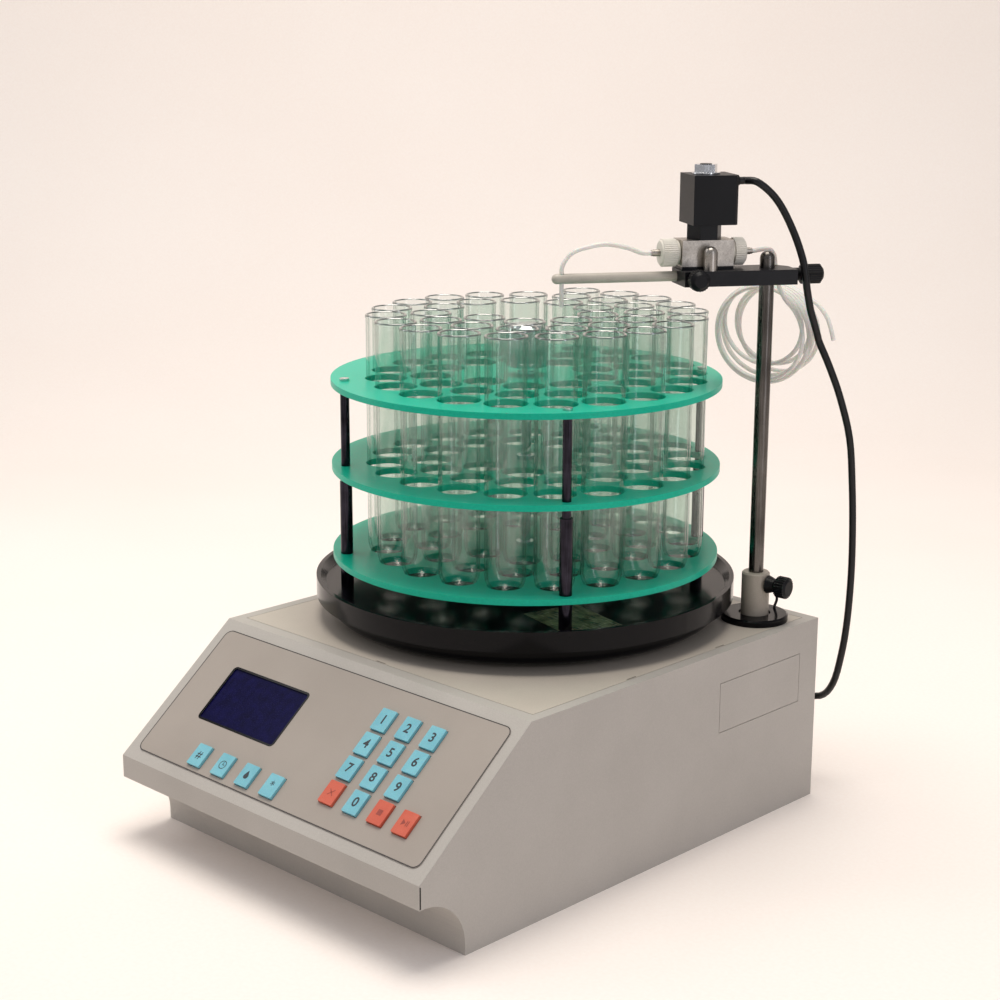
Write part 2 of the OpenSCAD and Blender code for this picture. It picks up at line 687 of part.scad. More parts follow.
label_pts = [[132.4, -40.7], [74.2, -26.1], [63.7, -68.1], [121.9, -82.7]];
module dish_label() {
  color([0.35, 0.42, 0.36]) on_turntable() translate([0, 0, floor_z + 0.02])
    linear_extrude(0.2) intersection() {
      circle(r = dish_r - dish_t - 5);
      polygon(label_pts);
    }
}

module rack_disc(z, d) {
  color([0.10, 0.66, 0.53]) on_turntable() translate([0, 0, z - disc_t]) difference() {
    cylinder(r = disc_r, h = disc_t, $fn = 128);
    for (p = places) translate([p[0], p[1], -1]) cylinder(d = d, h = disc_t + 2);
    for (a = [0:90:270]) rotate(post_turn + a) translate([post_ring_r, 0, -1])
      cylinder(d = stud_d + 2 * touch, h = disc_t + 2);
    translate([0, 0, -1]) cylinder(d = stem_d + 2 * touch, h = disc_t + 2);
  }
}
module rack_bottom_disc() { rack_disc(disc1, seat_d); }
module rack_middle_disc() { rack_disc(disc2, hole_d); }
module rack_top_disc() { rack_disc(disc3, hole_d); }

module at_posts() {
  on_turntable() for (a = [0:90:270]) rotate(post_turn + a) translate([post_ring_r, 0, 0]) children();
}

stud_d = 4;                         // threaded stud through the discs and sleeves
stem_d = 8;                         // centre rod of the rack
foot_z = floor_z + 0.3;
module rack_posts() {
  color([0.16, 0.16, 0.18]) at_posts() {
    translate([0, 0, foot_z + 6]) cylinder(d = stud_d, h = disc3 - foot_z - 5);
    translate([0, 0, disc2 + touch]) cylinder(d = post_d, h = disc3 - disc_t - disc2 - 2 * touch);
    translate([0, 0, disc3 + touch]) cylinder(d = post_d + 0.4, h = 1.8);
  }
}

module rack_sleeves() {
  color([0.05, 0.05, 0.06]) at_posts() {
    difference() {
      union() {
        translate([0, 0, disc1 + touch]) cylinder(d = sleeve_d, h = disc2 - disc_t - sleeve_gap - disc1);
        translate([0, 0, disc1 + 1]) cylinder(d = post_d, h = disc2 - disc_t - disc1 - 1 - touch);
      }
      translate([0, 0, disc1 - 1]) cylinder(d = stud_d + 2 * touch, h = disc_step_low + 2);
    }
    difference() {
      translate([0, 0, foot_z]) cylinder(d = sleeve_d + 0.4, h = disc1 - disc_t - foot_z - touch);
      translate([0, 0, foot_z + 5]) cylinder(d = stud_d + 2 * touch, h = foot_h);
    }
  }
}

grip_z = disc3 + 7;
module rack_grip() {
  color([0.78, 0.79, 0.80]) on_turntable() {
    difference() {
      union() {
        translate([0, 0, floor_z + 1]) cylinder(d = 16, h = foot_h - 1 - touch);
        translate([0, 0, floor_z + 14]) cylinder(d = stem_d, h = grip_z - floor_z - 13);
      }
      translate([0, 0, floor_z]) cylinder(d = stub_d + 2 * running, h = 13);
    }
    for (z = [disc1, disc2, disc3]) translate([0, 0, z + touch]) cylinder(d = 13, h = 3);
    translate([0, 0, disc2 - disc_t - 3 - touch]) cylinder(d = 13, h = 3);
    translate([0, 0, disc3 - disc_t - 3 - touch]) cylinder(d = 13, h = 3);
    translate([0, 0, disc3 + 3]) cylinder(d = 11, h = 5);
    difference() {
      translate([0, 0, grip_z]) cylinder(d = grip_d, h = 28);
      for (a = [0:15:345]) rotate(a) translate([grip_d / 2 + 0.8, 0, grip_z + 3])
        cylinder(d = 3, h = 22, $fn = 16);
    }
    translate([0, 0, grip_z + 27]) cylinder(d1 = grip_d - 1, d2 = grip_d - 6, h = 2.5);
  }
}

module glass_tube() {
  r = tube_d / 2;
  color([0.85, 0.93, 0.92, 0.35]) difference() {
    union() {
      translate([0, 0, r]) sphere(r = r);
      translate([0, 0, r]) cylinder(r = r, h = tube_l - r);
      translate([0, 0, tube_l - 1.6]) cylinder(d = tube_lip_d, h = 1.6);
    }
    translate([0, 0, r]) sphere(r = r - tube_wall);
    translate([0, 0, r]) cylinder(r = r - tube_wall, h = tube_l);
  }
}
module tube_at(i) {
  on_turntable() translate([places[i][0], places[i][1], tube_z]) glass_tube();
}
module test_tubes() { for (i = [0:tube_count - 1]) if (i != lift_place) tube_at(i); }
module front_tube() { tube_at(lift_place); }

module column_flange() {
  color([0.07, 0.07, 0.08]) translate([col_x, col_y, deck]) difference() {
    union() {
      translate([0, 0, touch]) cylinder(r = flange_r, h = flange_t - 1.2);
      translate([0, 0, touch + flange_t - 1.4]) cylinder(r1 = flange_r, r2 = flange_r - 1.2, h = 1.2);
    }
    translate([0, 0, -1]) cylinder(d = collar_d - 4 + 2 * running, h = flange_t + 2);
    translate([lead_pts[0][0], lead_pts[0][1], -1]) cylinder(d = lead_d + 0.6, h = flange_t + 2);
    translate([0, 0, flange_t - 1.3]) cylinder(d = collar_d + 3, h = 3);
  }
}

module column_collar() {
  color([0.72, 0.68, 0.60]) translate([col_x, col_y, 0]) difference() {
    union() {
      translate([0, 0, base_h - 19]) cylinder(d = collar_d - 4, h = 30);
      translate([0, 0, deck + flange_t - 1.2]) cylinder(d = collar_d, h = collar_top - 4 - deck - flange_t + 1.2);
      translate([0, 0, collar_top - 4.5]) cylinder(d = collar_d - 1, h = 1);
      translate([0, 0, collar_top - 4]) cylinder(d = collar_d, h = 3);
      translate([0, 0, collar_top - 1]) cylinder(d1 = collar_d, d2 = collar_d - 2, h = 1);
    }
    translate([0, 0, base_h - 20]) cylinder(d = 6 + 2 * running, h = 16);
    translate([0, 0, deck + 14]) cylinder(d = col_d + 2 * touch, h = 60);
    knob_axis() cylinder(d = 5 + 2 * touch, h = 30);
  }
}

knob_turn = 5;                      // direction of the collar's thumbscrew
module knob_axis() {
  translate([0, 0, knob_h]) rotate([0, 0, knob_turn]) rotate([0, 90, 0]) children();
}

module column_rod() {
  color([0.66, 0.67, 0.68]) translate([col_x, col_y, 0]) {
    translate([0, 0, deck + 14 + touch]) cylinder(d = col_d, h = col_top - col_d / 2 - deck - 14);
    translate([0, 0, col_top - col_d / 2]) sphere(d = col_d);
  }
}

// Round knob with a knurled edge.
module knurled(r, h, n) {
  linear_extrude(h) polygon([for (k = [0:2 * n - 1])
    (r - (k % 2) * 0.5) * [cos(180 * k / n), sin(180 * k / n)]]);
}

module collar_knob() {
  color([0.05, 0.05, 0.06]) translate([col_x, col_y, 0]) knob_axis() {
    translate([0, 0, col_d / 2 + 0.3]) cylinder(d = 5, h = 12);
    translate([0, 0, collar_d / 2 + 0.8]) cylinder(r1 = 6.5, r2 = 4.5, h = 6);
    translate([0, 0, collar_d / 2 + 6.5]) cylinder(r1 = 4.5, r2 = 7.4, h = 3);
    translate([0, 0, collar_d / 2 + 9]) knurled(7.8, 7.5, 24);
    translate([0, 0, collar_d / 2 + 16.4]) cylinder(r1 = 7, r2 = 5.4, h = 1.4);
  }
}

module clamp_bar() {
  color([0.08, 0.08, 0.09]) in_arm() difference() {
    union() {
      translate([0, 0, bar_z]) linear_extrude(bar_h) polygon([[bar_out, bar_w / 2], [-bar_back, bar_w / 2],
        [-bar_back, -4], [-10, -bar_w / 2], [bar_out, -bar_w / 2]]);
      translate([valve_u - valve_w / 2, line_v - valve_depth / 2 + 1, bar_top - 0.5])
        cube([valve_w, valve_depth - 1, pad_t + 0.5]);
    }
    translate([0, 0, bar_z - 1]) cylinder(d = col_d + 2 * running, h = bar_h + 2);
    translate([18, line_v, rod_z]) rotate([0, 90, 0]) cylinder(d = rod_d + 2 * running, h = bar_out);
    translate([clamp_pin_u, clamp_pin_v, bar_z - 1]) cylinder(d = pin_d + 2 * touch, h = bar_h + 2);
    translate([-bar_back - 1, 0, rod_z]) rotate([0, 90, 0]) cylinder(d = 5 + 2 * touch, h = bar_back);
    translate([ball_u, bar_w / 2 + 1, rod_z]) rotate([90, 0, 0]) cylinder(d = 5 + 2 * touch, h = bar_w / 2 - line_v);
  }
}

clamp_pin_u = 44.5;
pin_d = 9.6;
clamp_pin_v = line_v + valve_depth / 2 + pin_d / 2 + 0.6;
ball_u = 56;
module clamp_pin() {
  color([0.70, 0.70, 0.70]) in_arm() translate([clamp_pin_u, clamp_pin_v, 0]) {
    translate([0, 0, bar_z + 0.3]) cylinder(d = pin_d, h = 407 - pin_d / 2 - bar_z - 0.3);
    translate([0, 0, 407 - pin_d / 2]) sphere(d = pin_d);
  }
}

module end_knob() {
  color([0.05, 0.05, 0.06]) in_arm() translate([0, 0, rod_z]) rotate([0, -90, 0]) {
    translate([0, 0, col_d / 2 + 0.3]) cylinder(d = 5, h = 14);
    translate([0, 0, bar_back + 0.5]) cylinder(d = 9, h = 8);
    translate([0, 0, bar_back + 8]) knurled(6.9, 13.5, 24);
    translate([0, 0, bar_back + 21.4]) cylinder(r1 = 6.3, r2 = 4.6, h = 1.8);
  }
}

module ball_knob() {
  color([0.05, 0.05, 0.06]) in_arm() translate([ball_u, 0, rod_z]) rotate([-90, 0, 0]) {
    translate([0, 0, line_v + rod_d / 2 + 0.3]) cylinder(d = 5, h = bar_w / 2 - line_v - rod_d / 2 + 1);
    translate([0, 0, bar_w / 2 + 0.5]) cylinder(d = 8, h = 3);
    translate([0, 0, bar_w / 2 + 3]) knurled(7.4, 6, 24);
    translate([0, 0, bar_w / 2 + 8.8]) cylinder(r1 = 6.8, r2 = 4.5, h = 2.4);
  }
}

module dropper_rod() {
  color([0.72, 0.68, 0.62]) in_arm() difference() {
    union() {
      translate([34, line_v, rod_z]) rotate([0, 90, 0]) cylinder(d = rod_d, h = reach + 3.5 - 34);
      translate([reach + 3.5, line_v, rod_z]) sphere(d = rod_d);
    }
    translate([reach, line_v, rod_z - rod_d]) cylinder(d = hose_d + 0.5, h = 2 * rod_d);
  }
}

hose_ref = [0, 1, 0];
outlet_route = concat([[hose_start - hose_in, line_v, port_z], [hose_start, line_v, port_z]],
  [for (p = outlet_pts) [hose_start + p[0], line_v, port_z + p[1]]],
  [for (z = [6.5, 4, 0, -8, -14, -19.2]) [reach, line_v, rod_z + z]]);
module outlet_hose() {
  color([0.85, 0.87, 0.85]) in_arm() swept(smooth_path(outlet_route, 3), hose_d / 2, 8, hose_ref);
}

// Spare hose: loops of changing size that all pass the tie, one behind the
// other, so the hose never meets itself.
tie_turn = 52;                      // direction from the loops' middle to the tie
function loop_size(t) = loop_r1 + (loop_r0 - loop_r1) * (0.5 + 0.5 * cos(150 * t));
function loop_point(t) =
  let(r = loop_size(t), a = tie_turn - 360 * t)
  [tie[0] + loop_wide * r * (cos(a) - cos(tie_turn)), tie[1] + loop_step * t,
   tie[2] + r * (sin(a) - sin(tie_turn))];
hose_loops = [for (k = [0:24 * loops]) loop_point(k / 24)];
hose_back_pts = [[hose_back + hose_in, line_v, port_z], [hose_back + 1, line_v, port_z],
  [hose_back - 2, line_v, port_z], [2.5, line_v - 1.5, port_z + 0.6],
  [-5.5, line_v - 6, port_z + 0.1], [-11.5, line_v - 12, port_z - 4.9]];
inlet_route = concat(
  smooth_path(concat([for (p = hose_back_pts) arm_point(p)], hose_turn_pts, [hose_loops[0]]), 3),
  [for (k = [1:24 * loops - 1]) hose_loops[k]],
  smooth_path(concat([hose_loops[24 * loops]], hose_end_pts), 3));
loop_gap = min([for (i = [0:len(hose_loops) - 19], j = [i + 18:len(hose_loops) - 1])
  norm(hose_loops[i] - hose_loops[j])]) - hose_d;
echo(least_gap_between_hose_loops = loop_gap);
module inlet_hose() {
  color([0.85, 0.87, 0.85]) swept(inlet_route, hose_d / 2, 6, [0, 1, 0]);
}

module valve_block() {
  color([0.62, 0.60, 0.57]) in_arm() {
    difference() {
      translate([valve_u - valve_w / 2, line_v - valve_depth / 2, valve_z + touch])
        cube([valve_w, valve_depth, valve_h - touch]);
      translate([valve_u, line_v, valve_z + 9]) cylinder(d = 10, h = valve_h);
      translate([valve_u - valve_w, line_v, port_z]) rotate([0, 90, 0]) cylinder(d = 3, h = 2 * valve_w);
      translate([valve_u, line_v, neck_z - 4]) cylinder(d = 16 + 2 * touch, h = 5);
    }
    fitting(valve_u + valve_w / 2 - 1, hose_start, 1);
    fitting(valve_u - valve_w / 2 + 1, hose_back, -1);
  }
}
// Fitting behind a nut; the hose goes into its bore.
module fitting(u0, u1, way) {
  l = abs(u1 - u0);
  translate([u0, line_v, port_z]) rotate([0, 90 * way, 0]) difference() {
    union() {
      cylinder(d = 5, h = l - nozzle + 0.5);
      translate([0, 0, l - nozzle]) cylinder(d = nozzle_d + 0.6, h = nozzle - 1.5);
      translate([0, 0, l - nozzle]) cylinder(d = nozzle_d, h = nozzle);
    }
    translate([0, 0, -1]) cylinder(d = 2, h = l);
    translate([0, 0, 1]) cylinder(d = hose_d + 0.4, h = l);
  }
}

module hose_nuts() {
  color([0.88, 0.86, 0.80]) in_arm() {
    hose_nut(valve_u + valve_w / 2 + 0.3, nut_l - 0.3, 1);
    hose_nut(valve_u - valve_w / 2 - 0.3, nut_l - 2.8, -1);
  }
}
module hose_nut(u, l, way) {
  translate([u, line_v, port_z]) rotate([0, 90 * way, 0]) difference() {
    union() {
      cylinder(r = nut_r - 1.4, h = 2);
      translate([0, 0, 1.9]) knurled(nut_r, l - 3, 40);
      translate([0, 0, l - 1.2]) cylinder(r1 = nut_r - 0.6, r2 = nut_r - 1.6, h = 1.2);
    }
    translate([0, 0, -1]) cylinder(d = 5 + 2 * touch, h = l + 2);
  }
}

module valve_neck() {
  color([0.20, 0.20, 0.22]) in_arm() translate([valve_u, line_v, 0]) difference() {
    union() {
      translate([0, 0, neck_z + touch]) cylinder(d = neck_d, h = neck_h, $fn = 6);
      translate([0, 0, neck_z - 4]) cylinder(d = 16, h = 5);
      translate([0, 0, neck_z + neck_h]) cylinder(d = core_d, h = coil_h + 0.4);
      translate([0, 0, coil_top]) cylinder(d = 8, h = 7);
    }
    translate([0, 0, neck_z - 5]) cylinder(d = 10, h = 34);
  }
}

module valve_plunger() {
  color([0.70, 0.70, 0.70]) in_arm() translate([valve_u, line_v, 0]) {
    translate([0, 0, valve_z + 9.4]) cylinder(d = plunger_d - 3, h = 2);
    translate([0, 0, valve_z + 11]) cylinder(d = plunger_d, h = 24);
  }
}

module valve_coil() {
  color([0.10, 0.10, 0.11]) in_arm() difference() {
    union() {
      translate([valve_u + coil_shift - coil_w / 2, line_v - coil_w / 2, coil_z]) cube([coil_w, coil_w, coil_h]);
      // terminal gland at the upper corner towards the column
      translate([valve_u + coil_shift - coil_w / 2, line_v, coil_top - 5]) rotate([0, -90, 0]) cylinder(d = 9, h = 2.5, $fn = 6);
      translate([valve_u + coil_shift - coil_w / 2 - 2, line_v, coil_top - 5]) rotate([0, -90, 0]) cylinder(d = 6.5, h = 3);
    }
    translate([valve_u, line_v, coil_z - 1]) cylinder(d = core_d + 2 * touch, h = coil_h + 2);
    translate([valve_u + coil_shift - coil_w / 2, line_v + coil_w / 2, coil_z - 1]) rotate(45)
      cube([3, 3, 3 * coil_h], center = true);
  }
}
gland_u = valve_u + coil_shift - coil_w / 2 - 5;

module valve_nut() {
  color([0.75, 0.76, 0.77]) in_arm() translate([valve_u, line_v, 0]) difference() {
    union() {
      translate([0, 0, coil_top + touch]) cylinder(d = 20, h = 1.2);
      translate([0, 0, coil_top + 1.2]) cylinder(d = 16.2, h = 5.4, $fn = 6);
    }
    translate([0, 0, coil_top - 1]) cylinder(d = core_d + 2 * touch, h = 1.6);
    translate([0, 0, coil_top - 1]) cylinder(d = 8 + 2 * touch, h = 9);
  }
}

cable_up = smooth_path(concat(
  [for (u = [touch, 2.5, 5]) [gland_u - u, line_v, coil_top - 5]], cable_up_pts, [cable_split]), 3);
module valve_cable() {
  color([0.07, 0.07, 0.08]) in_arm() swept(cable_up, cable_d / 2, 10, hose_ref);
}

plug_y = rear + 8 + touch;
cable_low = smooth_path(concat([for (q = cable_below) arm_point(q)], cable_low_pts,
  [[socket[0] + 14, 227, socket[1] + 1], [socket[0] + 3, 221, socket[1]],
   for (y = [8, 4, 0]) [socket[0], plug_y + y, socket[1]]]), 2);
module base_leads() {
  color([0.07, 0.07, 0.08]) {
    swept(cable_low, cable_d / 2, 10, [1, -1, 0]);
    translate([col_x, col_y, deck])
      swept(smooth_path(concat(lead_pts, [[0, collar_d / 2 + touch, lead_pts[7][2]]]), 2),
            lead_d / 2, 8, [1, 0, 0]);
  }
}

housing();
top_panel();
bottom_plate();
side_cover();
control_label();
display_window();
circuit_boards();
drive_motors();
bearing_housing();
rear_connectors();
column_flange();
power_rocker();
motor_pinion();
turntable_gear();
spindle();
dish();
dish_label();
rack_bottom_disc();
rack_middle_disc();
rack_top_disc();
rack_posts();
rack_sleeves();
rack_grip();
test_tubes();
front_tube();
column_collar();
column_rod();
collar_knob();
clamp_bar();
end_knob();
ball_knob();
clamp_pin();
dropper_rod();
outlet_hose();
inlet_hose();
valve_block();
valve_neck();
valve_coil();
valve_nut();
hose_nuts();
valve_plunger();
valve_cable();
base_leads();
blue_key(0);  // key_1
blue_key(1);  // key_2
blue_key(2);  // key_3
blue_key(3);  // key_4
blue_key(4);  // key_5
blue_key(5);  // key_6
blue_key(6);  // key_7
blue_key(7);  // key_8
blue_key(8);  // key_9
blue_key(9);  // key_0
red_key(10);  // key_clear
red_key(11);  // key_stop
red_key(12);  // key_start
blue_key(13);  // key_hash
blue_key(14);  // key_time
blue_key(15);  // key_drop
blue_key(16);  // key_star
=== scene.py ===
import math
import bmesh
import bpy
from mathutils import Matrix, Vector


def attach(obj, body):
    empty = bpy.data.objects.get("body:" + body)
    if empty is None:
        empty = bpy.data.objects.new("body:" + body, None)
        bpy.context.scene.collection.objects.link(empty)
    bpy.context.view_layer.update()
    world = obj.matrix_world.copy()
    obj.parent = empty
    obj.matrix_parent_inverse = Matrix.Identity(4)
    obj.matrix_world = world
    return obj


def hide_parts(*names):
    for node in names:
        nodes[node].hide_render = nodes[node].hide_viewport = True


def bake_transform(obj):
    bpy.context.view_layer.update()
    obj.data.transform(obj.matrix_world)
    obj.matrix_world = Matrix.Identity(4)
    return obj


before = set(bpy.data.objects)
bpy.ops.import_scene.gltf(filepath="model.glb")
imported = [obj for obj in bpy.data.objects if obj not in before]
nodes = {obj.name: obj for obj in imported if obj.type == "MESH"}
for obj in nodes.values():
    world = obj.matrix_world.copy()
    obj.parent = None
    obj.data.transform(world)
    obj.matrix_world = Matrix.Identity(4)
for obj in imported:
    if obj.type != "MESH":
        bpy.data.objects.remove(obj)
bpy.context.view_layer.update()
mm = 0.001
print("frame loaded")


# ---- small helpers ----
def srgb(code, alpha=1.0):  # hex colour as Blender's linear values
    parts = [int(code[i:i + 2], 16) / 255 for i in (1, 3, 5)]
    return tuple(c / 12.92 if c <= 0.04045 else ((c + 0.055) / 1.055) ** 2.4 for c in parts) + (alpha,)


def addNode(tree, kind, inputs=None, **settings):  # a node with its settings and links
    node = tree.nodes.new(kind)
    for key, value in settings.items():
        setattr(node, key, value)
    for key, value in (inputs or {}).items():
        if isinstance(value, bpy.types.NodeSocket):
            tree.links.new(value, node.inputs[key])
        else:
            node.inputs[key].default_value = value
    return node


def meshObject(name, bm, smooth=True):  # turns a bmesh into a piece at the origin
    mesh = bpy.data.meshes.new(name)
    bm.to_mesh(mesh)
    bm.free()
    for face in mesh.polygons:
        face.use_smooth = smooth
    piece = bpy.data.objects.new(name, mesh)
    bpy.context.scene.collection.objects.link(piece)
    return piece


def dress(piece, material):
    piece.data.materials.clear()
    piece.data.materials.append(material)
    return piece


def spline(a, b, c, d, t):
    return 0.5 * (2 * b + (c - a) * t + (2 * a - 5 * b + 4 * c - d) * t * t + (3 * b - a - 3 * c + d) * t ** 3)


def smoothPath(points, steps):  # the same curve through the points as the CAD route
    p = [Vector(q) for q in points]
    last = len(p) - 1
    line = [spline(p[max(i - 1, 0)], p[i], p[i + 1], p[min(i + 2, last)], j / steps)
            for i in range(last) for j in range(steps)]
    return line + [p[last]]


def sweptTube(name, line, radius, sides=16):  # round tube along a line, ends closed
    curve = bpy.data.curves.new(name, "CURVE")
    curve.dimensions = "3D"
    curve.bevel_depth = radius
    curve.bevel_resolution = sides // 4
    curve.use_fill_caps = True
    curve.twist_mode = "MINIMUM"
    run = curve.splines.new("POLY")
    run.points.add(len(line) - 1)
    for point, place in zip(run.points, line):
        point.co = (*place, 1)
    holder = bpy.data.objects.new(name + "Line", curve)
    bpy.context.scene.collection.objects.link(holder)
    mesh = bpy.data.meshes.new_from_object(holder.evaluated_get(bpy.context.evaluated_depsgraph_get()))
    bpy.data.objects.remove(holder)
    bpy.data.curves.remove(curve)
    mesh.name = name
    piece = bpy.data.objects.new(name, mesh)
    bpy.context.scene.collection.objects.link(piece)
    for face in mesh.polygons:
        face.use_smooth = True
    return piece


# ---- camera at the photograph's angle ----
cameraSetup = {"place": (0.922, -0.9242, 0.5585), "yaw": 44.25, "pitch": 14.01, "roll": 0.22, "lens": 69.87}


def makeCamera(setup):
    yaw, pitch, roll = (math.radians(setup[key]) for key in ("yaw", "pitch", "roll"))
    ahead = Vector((-math.sin(yaw) * math.cos(pitch), math.cos(yaw) * math.cos(pitch), -math.sin(pitch)))
    right = Vector((math.cos(yaw), math.sin(yaw), 0))
    up = right.cross(ahead)
    turnedRight = math.cos(roll) * right + math.sin(roll) * up
    turnedUp = -math.sin(roll) * right + math.cos(roll) * up
    data = bpy.data.cameras.new("camera")
    data.lens = setup["lens"]
    data.sensor_width = 36
    data.clip_start, data.clip_end = 0.05, 30
    camera = bpy.data.objects.new("camera", data)
    bpy.context.scene.collection.objects.link(camera)
    turn = Matrix((turnedRight, turnedUp, -ahead)).transposed()
    camera.matrix_world = Matrix.Translation(setup["place"]) @ turn.to_4x4()
    bpy.context.scene.camera = camera


makeCamera(cameraSetup)

# ---- places that the pieces share, in the CAD's own millimetres ----
base = {"width": 300, "depth": 398, "height": 136.5, "lipTop": 58.5, "slopeRun": 96}
slopeAngle = math.atan((base["height"] - base["lipTop"]) / base["slopeRun"])
column = {"x": 118, "y": 165}
arm = {"angle": math.radians(236.8), "line": -6, "port": 401.4}
turntable = {"x": -15.5, "y": 64.5}


def armPoint(u, v, z):  # from the arm's own lengths to the frame, in metres
    c, s = math.cos(arm["angle"]), math.sin(arm["angle"])
    return Vector((column["x"] + u * c - v * s, column["y"] + u * s + v * c, z)) * mm


def slopePoint(x, s, n=0.0):  # across the panel, up the slope and out of it
    c, k = math.cos(slopeAngle), math.sin(slopeAngle)
    return Vector((x, -base["depth"] / 2 + s * c - n * k, base["lipTop"] + s * k + n * c)) * mm


# ---- cords ----
hose = {"diameter": 3.2, "start": 82.0, "back": 9.5, "inside": 8}
outletBends = [(7, 0.2), (16, 3.6), (29, 6.4), (38, 6.2), (45, 4.8), (51.3, 3.2), (57.4, 0), (61.6, -5.5)]
outletPoints = ([armPoint(hose["start"] - hose["inside"], arm["line"], arm["port"]),
                 armPoint(hose["start"], arm["line"], arm["port"])]
                + [armPoint(hose["start"] + u, arm["line"], arm["port"] + z) for u, z in outletBends]
                + [armPoint(145, arm["line"], z) for z in (391.7, 389.2, 385.2, 377.2, 371.2, 366)])
spare = {"tie": (117, 188.5, 366), "turns": 6, "step": 3.9, "large": 35.5, "small": 27, "wide": 1.2, "tieTurn": 52}


def sparePoint(turn):  # loops of changing size that all pass the tie
    size = spare["small"] + (spare["large"] - spare["small"]) * (0.5 + 0.5 * math.cos(math.radians(150 * turn)))
    a, b = math.radians(spare["tieTurn"] - 360 * turn), math.radians(spare["tieTurn"])
    return Vector((spare["tie"][0] + spare["wide"] * size * (math.cos(a) - math.cos(b)),
                   spare["tie"][1] + spare["step"] * turn,
                   spare["tie"][2] + size * (math.sin(a) - math.sin(b)))) * mm


backBends = [(hose["back"] + hose["inside"], -6, 401.4), (hose["back"] + 1, -6, 401.4), (hose["back"] - 2, -6, 401.4),
             (2.5, -7.5, 402), (-5.5, -12, 401.5), (-11.5, -18, 396.5)]
turnBends = [(107.5, 189, 388), (109, 190, 377)]
spareEnds = [(128, 212.5, 361), (138, 212, 351), (144, 211, 337)]
inletPoints = ([armPoint(*q) for q in backBends] + [Vector(q) * mm for q in turnBends]
               + [sparePoint(k / 24) for k in range(24 * spare["turns"] + 1)] + [Vector(q) * mm for q in spareEnds])
cable = {"diameter": 5.2, "split": (-36, 5, 346), "swingEnd": (158, 216, 200)}
cableUpPoints = [armPoint(*q) for q in [
    (20.45, -6, 449.55), (18, -6, 449.55), (15.5, -6, 449.55), (9.5, 0, 449), (-1, 1, 441), (-9, 3, 430), (-17, 6, 413),
    (-22, 9.5, 397), (-24, 11, 386), (-26, 10.5, 375), (-30, 8, 361), (-32.4, 6.8, 355), (-34.2, 5.9, 350.5),
    cable["split"]]]
cableHang = [cable["split"], (-37.8, 4.1, 341.5), (-39.6, 3.2, 337)]
cableLowPoints = [armPoint(*q) for q in cableHang] + [Vector(q) * mm for q in [
    (148, 201, 321), (153, 209, 298), (158, 216, 268), (160, 219, 235), (161, 221, 200), (161, 222, 165),
    (160, 221, 130), (157, 220, 104), (149, 223, 80), (134, 229, 65), (114, 227, 63), (103, 221, 62),
    (100, 215.05, 62), (100, 211.05, 62), (100, 207.05, 62)]]
lead = {"diameter": 2}
leadBends = [(4, 18.5, -1.6), (4, 18.5, 1.5), (4, 18.5, 5.5), (4.8, 20.2, 11.5), (3.8, 19, 17.5), (1.8, 16.2, 20.9),
             (0, 14, 21.5), (0, 12, 21.5), (0, 10.05, 21.5)]
leadPoints = [Vector((column["x"] + x, column["y"] + y, base["height"] + z)) * mm for x, y, z in leadBends]

outletLine = smoothPath(outletPoints, 5)
inletLine = smoothPath(inletPoints, 3)
inletCuts = (3 * (len(backBends) - 1), 3 * (len(backBends) + len(turnBends)))  # where the hose passes from body to body
cableUpLine = smoothPath(cableUpPoints, 4)
cableLowLine = smoothPath(cableLowPoints, 4)
leadLine = smoothPath(leadPoints, 4)

outletHose = sweptTube("outletHose", outletLine, hose["diameter"] / 2 * mm)
inletHose = sweptTube("inletHose", inletLine[:inletCuts[0] + 1], hose["diameter"] / 2 * mm, 12)
inletHoseDrop = sweptTube("inletHoseDrop", inletLine[inletCuts[0]:inletCuts[1] + 1], hose["diameter"] / 2 * mm, 12)
spareHose = sweptTube("spareHose", inletLine[inletCuts[1]:], hose["diameter"] / 2 * mm, 12)
valveCableTop = sweptTube("valveCableTop", cableUpLine, cable["diameter"] / 2 * mm)
valveCableFoot = sweptTube("valveCableFoot", cableLowLine, cable["diameter"] / 2 * mm)
collarLead = sweptTube("collarLead", leadLine, lead["diameter"] / 2 * mm, 12)
print("cords made")


# ---- materials ----
def newMaterial(name):
    material = bpy.data.materials.new(name)
    material.use_nodes = True
    material.node_tree.nodes.clear()
    return material, material.node_tree


noiseSpan = {"colour": (0.35, 0.65), "rough": (0.3, 0.7)}  # the part of the noise that is used


